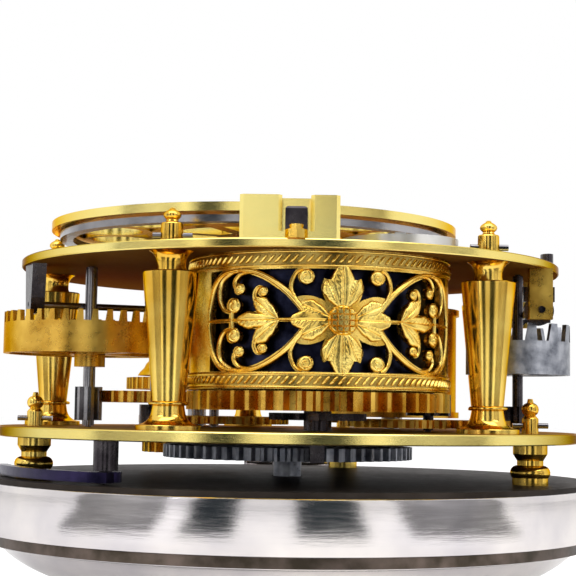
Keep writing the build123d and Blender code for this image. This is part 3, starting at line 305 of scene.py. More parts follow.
# the two large plates: above and below set the painted shade tones of their faces
def plateMetal(name, above, below):
    material = metal(
        name, (0.98, 0.83, 0.29), (0.92, 0.71, 0.20), (0.10, 0.24),
        patch=60, stretch=(1, 1, 12), edge=shadedPlateEdge,
    )
    tree = material.node_tree
    shader = tree.nodes["Principled BSDF"]
    faceShading = tree.nodes.new("ShaderNodeGroup")
    faceShading.node_tree = faceShadeAndMatt
    for face, tone in (("Above", above), ("Below", below)):
        faceShading.inputs[face].default_value = (*tone, 1)
        faceShading.inputs[face + " matt"].default_value = faceShadeSettings["roughen"] * (1 - max(tone))
    for label, shaderLabel in (("Tone", "Base Color"), ("Roughness", "Roughness")):
        plain = shader.inputs[shaderLabel].links[0].from_socket
        tree.links.new(plain, faceShading.inputs[label])
        tree.links.new(faceShading.outputs[label], shader.inputs[shaderLabel])
    return material


# the upper plate's top keeps its colour and its underside gets dark painted shade; the lower plate gets
# painted shade on both faces, darkest underneath
giltUpper = plateMetal("giltUpper", (1, 1, 1), (0.20, 0.12, 0.07))
giltLower = plateMetal("giltLower", (0.42, 0.30, 0.16), (0.16, 0.09, 0.05))

glassSettings = {"tone": (0.97, 0.99, 0.98, 1), "bend": 1.5, "smears": 180, "clear": 0.01, "smeared": 0.05}
crystalGlass = bpy.data.materials.new("crystalGlass")
crystalGlass.use_nodes = True
glassTree = crystalGlass.node_tree
glassShader = glassTree.nodes["Principled BSDF"]
glassShader.inputs["Base Color"].default_value = glassSettings["tone"]
glassShader.inputs["Transmission Weight"].default_value = 1.0
glassShader.inputs["IOR"].default_value = glassSettings["bend"]
glassSmears = noiseNode(glassTree, coordinates(glassTree), glassSettings["smears"])
glassGloss = rangeNode(glassTree, glassSmears, 0, 1, glassSettings["clear"], glassSettings["smeared"])
glassTree.links.new(glassGloss, glassShader.inputs["Roughness"])
print("materials built")

nodeMaterials = {
    "bezel": silverBright, "crystal": crystalGlass, "hinge_pin": steelPolished,
    "dial_plate": plateDark, "chapter_ring": silverWorn, "centre_post": steelPolished,
    "dial_feet": giltPolished, "dial_pins": steelPolished, "pillar_plate": giltLower,
    "upper_plate": giltUpper, "pillar_pins": steelPolished, "alarm_drum": giltChased,
    "alarm_spring": springBlack, "gut_line": gutBrown, "potence": giltSatin,
    "counter_potence": steelDark, "balance_spring": steelBlued, "balance_cock": giltPlate,
    "catch_block": steelDark, "cock_boss": giltPolished, "alarm_bracket": giltSatin,
    "lever_post": steelDark, "third_wheel": giltSatin, "third_arbor": steelPolished,
    "contrate_wheel": giltSatin, "contrate_arbor": steelPolished, "escape_wheel": giltSatin,
    "escape_arbor": steelPolished, "second_wheel": giltSatin, "second_arbor": steelPolished,
    "fusee_wheel": giltSatin, "fusee_cone": giltSatin, "fusee_arbor": steelPolished,
    "drive_wheel": giltSatin, "going_barrel": giltSatin, "barrel_arbor": steelPolished,
    "hour_wheel": steelGrey, "hour_hand": steelBlued, "verge": steelPolished,
    "balance_wheel": steelPolished, "alarm_great_wheel": giltSatin, "alarm_ratchet": steelDark,
    "alarm_arbor": steelDark, "alarm_second_wheel": giltSatin, "alarm_second_arbor": steelDark,
    "alarm_crown_wheel": steelGrey, "alarm_crown_arbor": steelDark, "alarm_verge": steelDark,
    "alarm_disc": silverWorn, "regulator_disc": silverWorn, "release_lever": steelBlued,
}
pillarCount = 5
for number in range(1, pillarCount + 1):
    nodeMaterials["pillar_" + str(number)] = giltPolished
for name, node in frame["nodes"].items():
    for slot in node.material_slots:
        slot.material = nodeMaterials[name]
    if not node.material_slots:
        node.data.materials.append(nodeMaterials[name])


def startPiece():
    if bpy.context.object and bpy.context.object.mode != "OBJECT":
        bpy.ops.object.mode_set(mode="OBJECT")
    bpy.ops.object.select_all(action="DESELECT")


# places and edges are fixed in the mesh, then the piece gets its metal and its body
def dressPiece(piece, name, material, body, angle):
    piece.name = name
    piece.data.name = name
    bpy.ops.object.transform_apply(location=True, rotation=True, scale=True)
    bpy.ops.object.shade_smooth_by_angle(angle=radians(angle))
    piece.data.materials.clear()
    piece.data.materials.append(material)
    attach(piece, body)
    return piece


def finishPiece(piece, name, material, body):
    bpy.ops.object.mode_set(mode="EDIT")
    bpy.ops.mesh.select_all(action="SELECT")
    bpy.ops.mesh.remove_doubles(threshold=0.001 * mm)
    bpy.ops.mesh.normals_make_consistent(inside=False)
    bpy.ops.object.mode_set(mode="OBJECT")
    return dressPiece(piece, name, material, body, angle=32)


def joinPieces(pieces, name, material, body):
    startPiece()
    for piece in pieces:
        piece.select_set(True)
    bpy.context.view_layer.objects.active = pieces[0]
    bpy.ops.object.join()
    return dressPiece(bpy.context.object, name, material, body, angle=40)


# turned pieces: a circle extruded and scaled ring by ring; rings are (radius, height) in metres
def turnedPiece(name, centre, rings, material, body, segments, hollow=False):
    startPiece()
    radius, height = rings[0]
    bpy.ops.mesh.primitive_circle_add(
        vertices=segments, radius=radius, fill_type="NOTHING" if hollow else "NGON",
        location=(centre[0], centre[1], height),
    )
    piece = bpy.context.object
    bpy.ops.object.mode_set(mode="EDIT")
    bpy.ops.mesh.select_all(action="SELECT")
    for (oldRadius, oldHeight), (newRadius, newHeight) in zip(rings, rings[1:]):
        bpy.ops.mesh.extrude_region_move(
            TRANSFORM_OT_translate={"value": (0, 0, newHeight - oldHeight)}
        )
        share = newRadius / oldRadius
        bpy.ops.transform.resize(
            value=(share, share, 1), center_override=(centre[0], centre[1], newHeight)
        )
    bpy.ops.object.mode_set(mode="OBJECT")
    return finishPiece(piece, name, material, body)


# an outline's (radius, height) points, in mm, become metres above a base
def inMetres(outline, base=0):
    return [(radius * mm, height * mm + base) for radius, height in outline]


# a round stretch of an outline, bent towards its control point
def arcPoints(first, control, last, steps=6):
    points = []
    for step in range(1, steps + 1):
        t = step / steps
        a, b, c = (1 - t) ** 2, 2 * t * (1 - t), t * t
        points.append(tuple(a * f + b * m + c * e for f, m, e in zip(first, control, last)))
    return points


# pillars: the smooth version of the turned solids, sizes in mm
pillarSettings = {
    "foot": 4.4, "narrow": 2.2, "wide": 3.86, "neck": 2.0, "segments": 72, "finialSegments": 48,
}


def pillarOutline():
    foot, narrow, wide, neck = (pillarSettings[part] for part in ("foot", "narrow", "wide", "neck"))
    tall = (upperLow - plateTop) / mm
    outline = [(foot - 0.04, 0), (foot, 0.04), (foot, 0.62), (foot - 0.08, 0.7)]
    outline += arcPoints((foot - 0.08, 0.7), (2.7, 0.9), (2.35, 2.2))
    outline += [(2.15, 3.3), (2.6, 3.38), (2.72, 3.5), (2.72, 3.68), (2.6, 3.8)]
    outline += [(narrow, 3.9), (wide, tall - 3.1), (wide, tall - 2.95), (wide - 0.16, tall - 2.8)]
    outline += [(neck + 0.15, tall - 2.7), (neck, tall - 2.2), (neck, tall - 1.6)]
    outline += arcPoints((neck, tall - 1.6), (neck + 0.05, tall - 0.5), (neck + 1, tall))
    return outline


finialOutline = [(1.52, 0), (1.56, 0.1), (1.5, 2.5), (1.4, 2.65)]
finialOutline += arcPoints((1.4, 2.65), (0.8, 2.7), (0.78, 3.1), 3)
finialOutline += arcPoints((0.78, 3.1), (1.75, 3.75), (0.6, 4.4), 8)
finialOutline += [(0.42, 4.5), (0.4, 4.62), (0.22, 4.74)]

for number in range(1, pillarCount + 1):
    node = "pillar_" + str(number)
    spot = middle(node)
    body = bodyOf(node)
    shaft = turnedPiece(
        "pillarShaft" + str(number), spot, inMetres(pillarOutline(), plateTop), giltPolished, body,
        pillarSettings["segments"],
    )
    knob = turnedPiece(
        "pillarFinial" + str(number), spot, inMetres(finialOutline, upperHigh), giltPolished, body,
        pillarSettings["finialSegments"],
    )
    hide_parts(node)
print("pillars turned")

# bezel: the silver ring again with a smooth round, and the hinge's knuckles
ringSegments = {"bezel": 256, "shadeBand": 192, "crystal": 160}
bezelOutline = [(30.4, 4.6), (30.4, 4.0), (32.0, 4.0)]
bezelOutline += arcPoints((32.0, 4.0), (40.5, 5.6), (44.5, 9.9), 10)
bezelOutline += [(45.1, 10.2), (46.5, 10.4), (46.6, 10.5), (46.6, 11.9), (46.5, 12.0)]
bezelOutline += [(47.3, 12.02), (47.55, 12.1)]
bezelOutline += arcPoints((47.72, 12.35), (48.0, 15.6), (47.86, 18.9), 12)
bezelOutline += [(47.76, 19.2), (47.5, 19.4), (47.2, 19.45), (46.35, 19.45), (46.3, 19.4), (45.6, 11.7)]
bezelOutline += arcPoints((45.6, 11.7), (41.5, 7.6), (33.6, 6.2), 6)
bezelOutline += [(31.6, 6.2), (31.6, 4.6), (30.4, 4.6)]
bezelRing = turnedPiece(
    "bezelRing", (0, 0), inMetres(bezelOutline), silverBright, bodyOf("bezel"), ringSegments["bezel"],
    hollow=True,
)
hingePlace = middle("hinge_pin")
hingeHeight = sum(corner[2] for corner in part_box("hinge_pin")) / 2
hingeSettings = {
    "radius": 1.5 * mm, "length": 5.0 * mm, "gap": 0.3 * mm, "segments": 48, "edge": 0.12 * mm,
    "rootIn": 1.3 * mm, "rootDown": 2.6 * mm, "rootDepth": 2.0 * mm, "rootHeight": 3.2 * mm,
}


# one knuckle: a short barrel round the pin, on a root that stands on the bezel
def knuckle(name, side):
    startPiece()
    h = hingeSettings
    offset = side * (h["length"] + h["gap"])
    bpy.ops.mesh.primitive_cylinder_add(
        vertices=h["segments"], radius=h["radius"], depth=h["length"],
        location=(offset, hingePlace[1], hingeHeight), rotation=(0, pi / 2, 0),
    )
    barrel = bpy.context.object
    bpy.ops.mesh.primitive_cube_add(
        size=1, location=(offset, hingePlace[1] - h["rootIn"], hingeHeight - h["rootDown"])
    )
    root = bpy.context.object
    root.scale = (h["length"], h["rootDepth"], h["rootHeight"])
    barrel.select_set(True)
    bpy.context.view_layer.objects.active = barrel
    bpy.ops.object.join()
    rounding = barrel.modifiers.new("edge", "BEVEL")
    rounding.width = h["edge"]
    rounding.segments = 2
    bpy.ops.object.modifier_apply(modifier="edge")
    return finishPiece(barrel, name, silverBright, bodyOf("bezel"))


leftKnuckle = knuckle("bezelKnuckleLeft", -1)
rightKnuckle = knuckle("bezelKnuckleRight", 1)
# a thin dark band in the bezel's recessed flange: painted shade where the flange is shaded
shadeBandOutline = [(46.3, 10.45), (46.65, 10.5), (46.65, 11.9), (46.3, 11.95)]
bezelShadeBand = turnedPiece(
    "bezelShadeBand", (0, 0), inMetres(shadeBandOutline), shadeBandBrown, bodyOf("bezel"), ringSegments["shadeBand"],
    hollow=True,
)
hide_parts("bezel")

crystalOutline = [(9.0, 0.0)] + arcPoints((9.0, 0.0), (22.0, 0.5), (30.3, 4.6), 14)
crystalOutline += [(31.55, 4.62), (31.6, 4.7), (31.6, 6.1), (31.5, 6.2), (29.4, 6.2)]
crystalOutline += arcPoints((29.4, 6.2), (21.6, 2.1), (9.0, 1.6), 14)
crystalOutline += [(0.4, 1.6)]
crystalDome = turnedPiece(
    "crystalDome", (0, 0), inMetres(crystalOutline), crystalGlass, bodyOf("crystal"),
    ringSegments["crystal"],
)
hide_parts("crystal")
print("bezel and crystal turned")

# alarm drum: rope borders and chased relief over the pierced wall
drumCentre = middle("alarm_drum")
drumBody = bodyOf("alarm_drum")
# shadeLow, shadeHigh and shade: the heights over which the relief's painted shade fades, and its dark colour
drumSettings = {
    "radius": 18.5 * mm, "facing": -81.5, "windowLow": 8.0 * mm, "windowHigh": 21.6 * mm,
    "shadeLow": 0.02 * mm, "shadeHigh": 0.22 * mm, "shade": (0.13, 0.055, 0.008, 1),
}
panelMiddle = plateTop + (drumSettings["windowLow"] + drumSettings["windowHigh"]) / 2
panels = (("Front", drumSettings["facing"]), ("Back", drumSettings["facing"] + 180))


# painted shade on the relief: dark where it is low and bright where it is raised, measured from the drum's
# axis
def shadeRelief(material):
    d = drumSettings
    tree = material.node_tree
    baseColour = tree.nodes["Principled BSDF"].inputs["Base Color"]
    offset = vectorNode(tree, "SUBTRACT", coordinates(tree), (*drumCentre, 0))
    away = vectorNode(tree, "LENGTH", vectorNode(tree, "MULTIPLY", offset, (1, 1, 0)))
    # painted shade mask: 0 where the relief is low, 1 where it is raised
    paintedShadeMask = rangeNode(tree, away, d["radius"] + d["shadeLow"], d["radius"] + d["shadeHigh"])
    shaded = mixNode(tree, paintedShadeMask, d["shade"], baseColour.links[0].from_socket)
    tree.links.new(shaded, baseColour)


shadeRelief(giltRelief)


# a point on the drum's wall: run along the wall, rise up it, proud of it
def onWall(facing, run, rise, proud):
    radius = drumSettings["radius"]
    angle = radians(facing) + run / radius
    return (
        drumCentre[0] + (radius + proud) * cos(angle),
        drumCentre[1] + (radius + proud) * sin(angle),
        panelMiddle + rise,
    )


# a grid shaped by a function of (s, t), each from 0 to 1, and laid on the wall
def wallPatch(facing, columns, rows, shape):
    startPiece()
    bpy.ops.mesh.primitive_grid_add(x_subdivisions=columns, y_subdivisions=rows, size=1)
    patch = bpy.context.object
    for vertex in patch.data.vertices:
        s, t = vertex.co.x + 0.5, vertex.co.y + 0.5
        vertex.co = onWall(facing, *shape(s, t))
    return patch


# every form of the relief starts this far inside the wall's face; grid is its columns and rows
reliefSink = -0.22 * mm
petalSettings = {
    "grid": (54, 16), "height": 0.50 * mm, "rib": 0.14 * mm, "ribHalf": 0.14, "hatch": 0.05 * mm, "hatches": 9,
    "hatchLean": 1.6, "lobes": 3, "lobeDepth": 0.09, "lobeStart": 0.6, "swell": 0.95, "taper": 0.45,
    "peak": 0.41, "root": 0.03, "ends": 0.62, "tilt": 0.12,
}


# a leaf: narrow at its root, broad past the middle, with a lobed edge, a rib and one hatched side
def petalShape(root, turn, length, width):
    p = petalSettings
    forward = (cos(radians(turn)), sin(radians(turn)))
    aside = (-forward[1], forward[0])

    def shape(s, t):
        across = (t - 0.5) * 2
        lobes = 1 + p["lobeDepth"] * sin(s * p["lobes"] * 2 * pi + p["lobeStart"]) * s
        full = s ** p["swell"] * (1 - s) ** p["taper"] / p["peak"]
        half = width / 2 * (full * (1 - p["root"]) + p["root"]) * lobes
        run = root[0] + forward[0] * s * length + aside[0] * across * half
        rise = root[1] + forward[1] * s * length + aside[1] * across * half
        crown = p["ends"] + (1 - p["ends"]) * sin(pi * s)
        dome = (1 - across**6) * crown * (1 - p["tilt"] * max(0, across))
        rib = p["rib"] * max(0, 1 - abs(across) / p["ribHalf"])
        proud = reliefSink + (p["height"] - reliefSink) * dome - rib
        if across > 0:
            wave = sin((s * p["hatches"] - across * p["hatchLean"]) * 2 * pi)
            proud += p["hatch"] * wave * (1 - across**4) * s
        return run, rise, proud

    return shape


curlSettings = {
    "grid": (40, 14), "height": 0.52 * mm, "groove": 0.13 * mm, "winding": 8, "grooveFrom": 0.15,
    "grooveTo": 0.9,
}


# a curled end: a low disc with a spiral groove
def curlShape(place, radius):
    c = curlSettings

    def shape(s, t):
        angle = 2 * pi * s
        run = place[0] + radius * t * cos(angle)
        rise = place[1] + radius * t * sin(angle)
        proud = reliefSink + (c["height"] - reliefSink) * sqrt(max(0, 1 - t**4))
        if c["grooveFrom"] < t < c["grooveTo"]:
            proud -= c["groove"] * max(0, cos(angle - c["winding"] * t)) ** 4
        return run, rise, proud

    return shape


stemSettings = {
    "grid": (40, 8), "height": 0.55 * mm, "crown": 0.96, "groove": 0.07 * mm, "grooveHalf": 0.2,
    "taper": 0.25, "step": 0.01,
}


# a smooth line through points: s runs from 0 to 1 along it
def alongPoints(points, s):
    count = len(points) - 1
    place = min(count - 1e-6, s * count)
    first = int(place)
    u = place - first
    a, b, c, d = (points[max(0, min(count, first + step))] for step in (-1, 0, 1, 2))
    return tuple(
        0.5 * (2 * q + (r - p) * u + (2 * p - 5 * q + 4 * r - t) * u * u + (3 * q - p - 3 * r + t) * u**3)
        for p, q, r, t in zip(a, b, c, d)
    )


# a stem of flattened round section, with a fine groove along its middle
def stemShape(points, width):
    m = stemSettings

    def shape(s, t):
        x, y = alongPoints(points, s)
        nextX, nextY = alongPoints(points, min(1, s + m["step"]))
        lastX, lastY = alongPoints(points, max(0, s - m["step"]))
        length = hypot(nextX - lastX, nextY - lastY) or 1e-9
        aside = (-(nextY - lastY) / length, (nextX - lastX) / length)
        across = (t - 0.5) * 2
        half = width / 2 * (1 - m["taper"] * s)
        proud = reliefSink + m["height"] * sqrt(max(0, 1 - across**2 * m["crown"]))
        if abs(across) < m["grooveHalf"]:
            proud -= m["groove"]
        return x + aside[0] * across * half, y + aside[1] * across * half, proud

    return shape


# the panel's pattern, in mm from its middle: (points, width), (place, radius), (root, turn, length, width)
quarterStems = (
    (((5.2, 1.4), (7.4, 3.8), (9.8, 5.5), (12.3, 6.5), (14.8, 6.7)), 0.9),
    (((14.6, 6.7), (17.4, 6.2), (19.4, 4.4), (20.4, 1.5), (20.4, 0.0)), 0.85),
    (((12.0, 6.4), (14.0, 6.2), (15.1, 5.2), (14.7, 4.2)), 0.55),
    (((15.6, 6.5), (17.7, 5.2), (18.0, 3.2), (17.0, 1.6), (15.7, 1.2)), 0.65),
    (((11.2, 2.2), (11.9, 3.3), (11.4, 4.3), (10.6, 4.3)), 0.55),
    (((5.9, 2.2), (6.8, 4.2), (6.3, 6.0), (5.3, 6.7)), 0.6),
)
quarterCurls = (((14.3, 4.2), 0.8), ((15.3, 2.0), 1.1), ((10.7, 3.8), 0.7), ((4.8, 5.7), 1.1))
quarterPetals = (
    ((1.5, 0.3), 24, 4.4, 2.5),
    ((0.3, 1.5), 65, 4.2, 2.6),
    ((8.4, 0.0), 38, 4.6, 2.4),
)
uprightPetal = ((0, 0), 90, 7.3, 3.4)
levelPetals = (((0.5, 0), 0, 6.4, 2.9), ((8.2, 0), 0, 6.6, 2.5))
levelStems = (
    (((5.5, 0), (8.0, 0.1), (10.2, 0)), 0.6),
    (((13.8, 0), (17.0, 0.1), (20.4, 0)), 0.6),
    (((15.6, -1.4), (15.65, 0), (15.6, 1.4)), 0.7),
)


# side and up are 1 or -1, and mirror a form across or up the panel
def panelPatches(facing):
    patches = []

    def mirrored(place, side, up):
        return (side * place[0] * mm, up * place[1] * mm)

    def petal(form, side, up):
        root, turn, length, width = form
        turned = up * (turn if side > 0 else 180 - turn)
        shape = petalShape(mirrored(root, side, up), turned, length * mm, width * mm)
        patches.append(wallPatch(facing, *petalSettings["grid"], shape))

    def stem(form, side, up):
        points, width = form
        shape = stemShape([mirrored(point, side, up) for point in points], width * mm)
        patches.append(wallPatch(facing, *stemSettings["grid"], shape))

    def curl(form, side, up):
        place, radius = form
        shape = curlShape(mirrored(place, side, up), radius * mm)
        patches.append(wallPatch(facing, *curlSettings["grid"], shape))

    for up in (1, -1):
        petal(uprightPetal, 1, up)
        for side in (1, -1):
            for form in quarterStems:
                stem(form, side, up)
            for form in quarterCurls:
                curl(form, side, up)
            for form in quarterPetals:
                petal(form, side, up)
    for side in (1, -1):
        for form in levelPetals:
            petal(form, side, 1)
        for form in levelStems:
            stem(form, side, 1)
    return patches


for label, facing in panels:
    relief = joinPieces(panelPatches(facing), "drumRelief" + label, giltRelief, drumBody)

buttonSettings = {
    "grid": (72, 26), "radius": 2.1 * mm, "height": 0.76 * mm, "cut": 0.26 * mm, "cutPitch": mm / 1.3,
    "plain": 0.41, "edgeFrom": 0.82, "edgeDrop": 0.70 * mm,
}


# flower centre: a raised button with a cross-cut top and a rounded edge
def buttonShape(s, t):
    b = buttonSettings
    angle = 2 * pi * s
    run, rise = b["radius"] * t * cos(angle), b["radius"] * t * sin(angle)
    proud = b["height"]
    if max(abs(place / b["cutPitch"] % 1 - 0.5) for place in (run, rise)) > b["plain"]:
        proud -= b["cut"]
    if t > b["edgeFrom"]:
        proud -= b["edgeDrop"] * ((t - b["edgeFrom"]) / (1 - b["edgeFrom"])) ** 2
    return run, rise, proud


for label, facing in panels:
    patch = wallPatch(facing, *buttonSettings["grid"], buttonShape)
    button = joinPieces([patch], "flowerCentre" + label, giltRelief, drumBody)

ropeSettings = {
    "beadGrid": (7, 5), "strokes": 108, "lean": 0.55 * mm, "half": 0.34 * mm, "reach": 0.66 * mm,
    "sink": 0.12 * mm, "height": 0.42 * mm,
    "groundGrid": (216, 1), "groundWidth": 1.7 * mm, "groundHeight": 0.10 * mm,
    "ridgeGrid": (216, 6), "ridgeAway": 0.92 * mm, "ridgeHalf": 0.16 * mm, "ridgeSink": 0.05 * mm,
    "ridgeHeight": 0.34 * mm,
}


# rope borders: slanted beads on a sunk ground that the painted shade darkens, between two fine ridges
def ropeBorder(name, rise):
    r = ropeSettings
    girth = 2 * pi * drumSettings["radius"]
    pieces = []

    def bead(s, t):
        across, along = (t - 0.5) * 2, (s - 0.5) * 2
        full = sqrt(max(0, 1 - along**4))
        proud = (r["height"] + r["sink"]) * sqrt(max(0, 1 - across**2)) * full - r["sink"]
        return along * r["lean"] + across * r["half"] * full, rise + along * r["reach"], proud

    # the ground lies low on the wall, so the relief's painted shade darkens it
    def ground(s, t):
        return s * girth, rise + (t - 0.5) * r["groundWidth"], r["groundHeight"]

    for index in range(r["strokes"]):
        pieces.append(wallPatch(drumSettings["facing"] + 360 * index / r["strokes"], *r["beadGrid"], bead))
    pieces.append(wallPatch(0, *r["groundGrid"], ground))
    for side in (-1, 1):

        def ridge(s, t):
            across = (t - 0.5) * 2
            height = rise + side * r["ridgeAway"] + across * r["ridgeHalf"]
            return s * girth, height, r["ridgeHeight"] * sqrt(max(0, 1 - across**2)) - r["ridgeSink"]

        pieces.append(wallPatch(0, *r["ridgeGrid"], ridge))
    border = joinPieces(pieces, name, giltRelief, drumBody)


ropeBorder("ropeBorderTop", 8.15 * mm)
ropeBorder("ropeBorderFoot", -7.9 * mm)
print("drum chased")

# dial: hour numerals and a quarter track on the chapter ring, marks on the alarm disc
dialSettings = {
    "middle": 30.6 * mm, "height": 6.2 * mm, "stroke": 0.95 * mm, "thin": 0.35 * mm, "pitch": 1.9 * mm,
    "relief": 0.03 * mm, "serif": 0.3 * mm, "slant": 0.30, "trackIn": 24.6 * mm, "trackOut": 25.8 * mm,
    "trackWidth": 0.3 * mm, "alarmIn": 9.8 * mm, "alarmOut": 11.6 * mm, "quarterOut": 12.4 * mm,
    "alarmWidth": 0.6 * mm,
}
numerals = ("XII", "I", "II", "III", "IIII", "V", "VI", "VII", "VIII", "IX", "X", "XI")
letterWidths = {"I": 1.0, "V": 1.9, "X": 1.9}


# a flat stroke on the dial's face, from one (across, outward) point to another, at an hour
def dialStroke(hour, start, end, width, face):
    startPiece()
    turn = radians(30 * hour)
    outward = Vector((-sin(turn), cos(turn), 0))
    clockwise = Vector((-cos(turn), -sin(turn), 0))
    first, last = Vector((*start, 0)), Vector((*end, 0))
    side = Vector((last.y - first.y, first.x - last.x, 0)).normalized() * width / 2
    bpy.ops.mesh.primitive_cube_add(size=2)
    stroke = bpy.context.object
    for vertex in stroke.data.vertices:
        x, y, z = vertex.co
        flat = (last if y > 0 else first) + side * x
        depth = Vector((0, 0, face - z * dialSettings["relief"]))
        vertex.co = clockwise * flat.x + outward * flat.y + depth
    return stroke


# an I is one broad stroke; a V or an X is a broad and a thin one, each (foot, head, width)
def letterStrokes(letter, centre, reach):
    broad, thin = dialSettings["stroke"], dialSettings["thin"]
    if letter == "I":
        return [(centre, centre, broad)]
    if letter == "V":
        return [(centre, centre - reach, broad), (centre, centre + reach, thin)]
    return [(centre + reach, centre - reach, broad), (centre - reach, centre + reach, thin)]


def numeralStrokes(hour, text, face):
    d = dialSettings
    low, high = d["middle"] - d["height"] / 2, d["middle"] + d["height"] / 2
    total = sum(letterWidths[letter] for letter in text) * d["pitch"]
    place = -total / 2
    strokes = []
    for letter in text:
        wide = letterWidths[letter] * d["pitch"]
        for foot, head, width in letterStrokes(letter, place + wide / 2, wide * d["slant"]):
            strokes.append(dialStroke(hour, (foot, low), (head, high), width, face))
        place += wide
    left, right = -total / 2 + d["serif"], total / 2 - d["serif"]
    for edge in (low, high):
        strokes.append(dialStroke(hour, (left, edge), (right, edge), d["thin"], face))
    return strokes


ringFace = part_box("chapter_ring")[0][2]
marks = []
for hour, text in enumerate(numerals):
    marks += numeralStrokes(hour, text, ringFace)
trackEnds = ((0, dialSettings["trackIn"]), (0, dialSettings["trackOut"]))
for quarter in range(48):
    marks.append(dialStroke(quarter / 4, *trackEnds, dialSettings["trackWidth"], ringFace))
dialMarks = joinPieces(marks, "dialNumerals", waxBlack, bodyOf("chapter_ring"))
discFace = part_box("alarm_disc")[0][2]
marks = []
for hour in range(12):
    markEnd = dialSettings["alarmOut" if hour % 3 else "quarterOut"]
    markEnds = ((0, dialSettings["alarmIn"]), (0, markEnd))
    marks.append(dialStroke(hour, *markEnds, dialSettings["alarmWidth"], discFace))
alarmMarks = joinPieces(marks, "alarmMarks", waxBlack, bodyOf("alarm_disc"))
print("dial marked")

# floor: white to the camera, with a plain surface for shadows and reflections
floorSettings = {"size": 6, "tone": (0.93, 0.93, 0.93, 1), "roughness": 0.7, "glow": 0.45}
startPiece()
bpy.ops.mesh.primitive_plane_add(size=floorSettings["size"], location=(0, 0, 0))
floor = bpy.context.object
floor.name = "studioFloor"
floorMaterial = bpy.data.materials.new("studioFloor")
floorMaterial.use_nodes = True
floorNodes, floorLinks = floorMaterial.node_tree.nodes, floorMaterial.node_tree.links
floorShader = floorNodes["Principled BSDF"]
floorShader.inputs["Base Color"].default_value = floorSettings["tone"]
floorShader.inputs["Roughness"].default_value = floorSettings["roughness"]
floorGlow = floorNodes.new("ShaderNodeEmission")
floorGlow.inputs["Strength"].default_value = floorSettings["glow"]
floorPath = floorNodes.new("ShaderNodeLightPath")
floorLit = floorNodes.new("ShaderNodeAddShader")
floorChoice = floorNodes.new("ShaderNodeMixShader")
floorLinks.new(floorShader.outputs[0], floorLit.inputs[0])
floorLinks.new(floorGlow.outputs[0], floorLit.inputs[1])
floorLinks.new(floorPath.outputs["Is Camera Ray"], floorChoice.inputs[0])
floorLinks.new(floorShader.outputs[0], floorChoice.inputs[1])
floorLinks.new(floorLit.outputs[0], floorChoice.inputs[2])
floorLinks.new(floorChoice.outputs[0], floorNodes["Material Output"].inputs["Surface"])
floor.data.materials.append(floorMaterial)

# surroundings: white to the camera, through glass and in reflections, half as bright as a light
skyStrength = 0.5
world = bpy.data.worlds.new("studio")
world.use_nodes = True
bpy.context.scene.world = world
worldTree = world.node_tree
sky = worldTree.nodes["Background"]
sky.inputs["Color"].default_value = (1, 1, 1, 1)
sky.inputs["Strength"].default_value = skyStrength
whiteSky = worldTree.nodes.new("ShaderNodeBackground")
whiteSky.inputs["Color"].default_value = (1, 1, 1, 1)
rays = worldTree.nodes.new("ShaderNodeLightPath").outputs
seen = mathNode(worldTree, "MAXIMUM", rays["Is Camera Ray"], rays["Is Transmission Ray"])
seenOrGlossy = mathNode(worldTree, "MAXIMUM", seen, rays["Is Glossy Ray"])
choice = worldTree.nodes.new("ShaderNodeMixShader")
worldTree.links.new(seenOrGlossy, choice.inputs[0])
worldTree.links.new(sky.outputs[0], choice.inputs[1])
worldTree.links.new(whiteSky.outputs[0], choice.inputs[2])
worldTree.links.new(choice.outputs[0], worldTree.nodes["World Output"].inputs["Surface"])

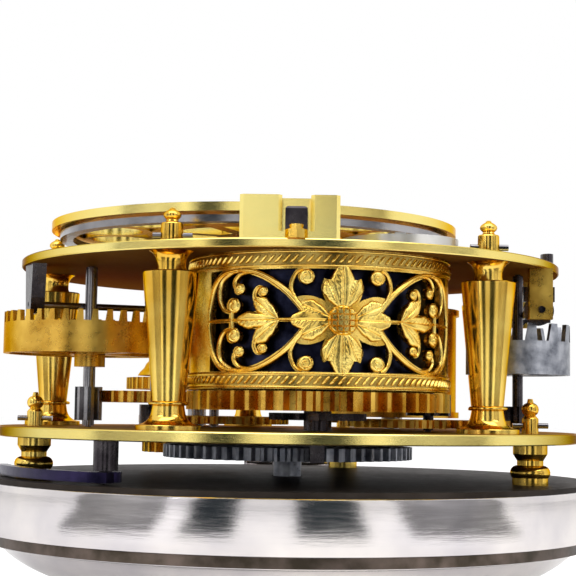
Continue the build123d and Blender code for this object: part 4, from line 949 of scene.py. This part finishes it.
# softboxes: each has its place, its size and its power, and faces the movement
softboxes = {
    "leftSoftbox": ((-0.45, -0.35, 0.22), (0.25, 0.5), 2.2),
    "rightSoftbox": ((0.45, -0.32, 0.22), (0.25, 0.5), 2.2),
    "topSoftbox": ((0, -0.1, 0.6), (0.6, 0.5), 2.0),
}
lightTarget = Vector((0, 0, 0.04))
for name, (place, size, power) in softboxes.items():
    data = bpy.data.lights.new(name, "AREA")
    data.shape = "RECTANGLE"
    data.size, data.size_y = size
    data.energy = power
    lamp = bpy.data.objects.new(name, data)
    bpy.context.scene.collection.objects.link(lamp)
    lamp.location = place
    lamp.rotation_euler = (lightTarget - Vector(place)).to_track_quat("-Z", "Y").to_euler()

# cards on the lens's side, seen only in the metal's reflections; turn is in degrees from the lens
cardSettings = {
    "near": 0.13, "distance": 0.36, "floorGap": 0.0004, "dark": (0.006, 0.005, 0.004, 1),
    "darkGlow": ((0.5, 0.8, 1.0, 1), 0.035), "greyGlow": ((1, 1, 1, 1), 0.26),
}


def cardMaterial(name, glow):
    material = bpy.data.materials.new(name)
    material.use_nodes = True
    inputs = material.node_tree.nodes["Principled BSDF"].inputs
    inputs["Base Color"].default_value = cardSettings["dark"]
    inputs["Specular IOR Level"].default_value = 0.0
    inputs["Emission Color"].default_value, inputs["Emission Strength"].default_value = glow
    return material


# one card: a strip along the floor towards the clock, then upright at its far end
def reflectionCard(name, turn, width, height, material):
    startPiece()
    c = cardSettings
    bpy.ops.mesh.primitive_grid_add(x_subdivisions=1, y_subdivisions=2, size=1)
    card = bpy.context.object
    rows = [
        (c["near"], width * c["near"] / c["distance"], c["floorGap"]),
        (c["distance"], width, c["floorGap"]),
        (c["distance"], width, height),
    ]
    angle = radians(turn)
    for vertex in card.data.vertices:
        side = 1 if vertex.co.x > 0 else -1
        outward, wide, level = rows[round((vertex.co.y + 0.5) * 2)]
        across = side * wide / 2
        vertex.co = (
            outward * sin(angle) + across * cos(angle),
            -outward * cos(angle) + across * sin(angle),
            level,
        )
    card.name = name
    card.data.materials.append(material)
    card.visible_camera = False
    card.visible_diffuse = False
    card.visible_shadow = False
    card.visible_transmission = False


darkCard = cardMaterial("darkCard", cardSettings["darkGlow"])
greyCard = cardMaterial("greyCard", cardSettings["greyGlow"])
reflectionCard("darkCard0", -23, 0.10, 0.5, darkCard)
reflectionCard("darkCard1", 13, 0.13, 0.5, darkCard)
reflectionCard("greyCard0", -56, 0.22, 0.3, greyCard)
reflectionCard("greyCard1", 56, 0.26, 0.3, greyCard)
print("studio set")

startPiece()
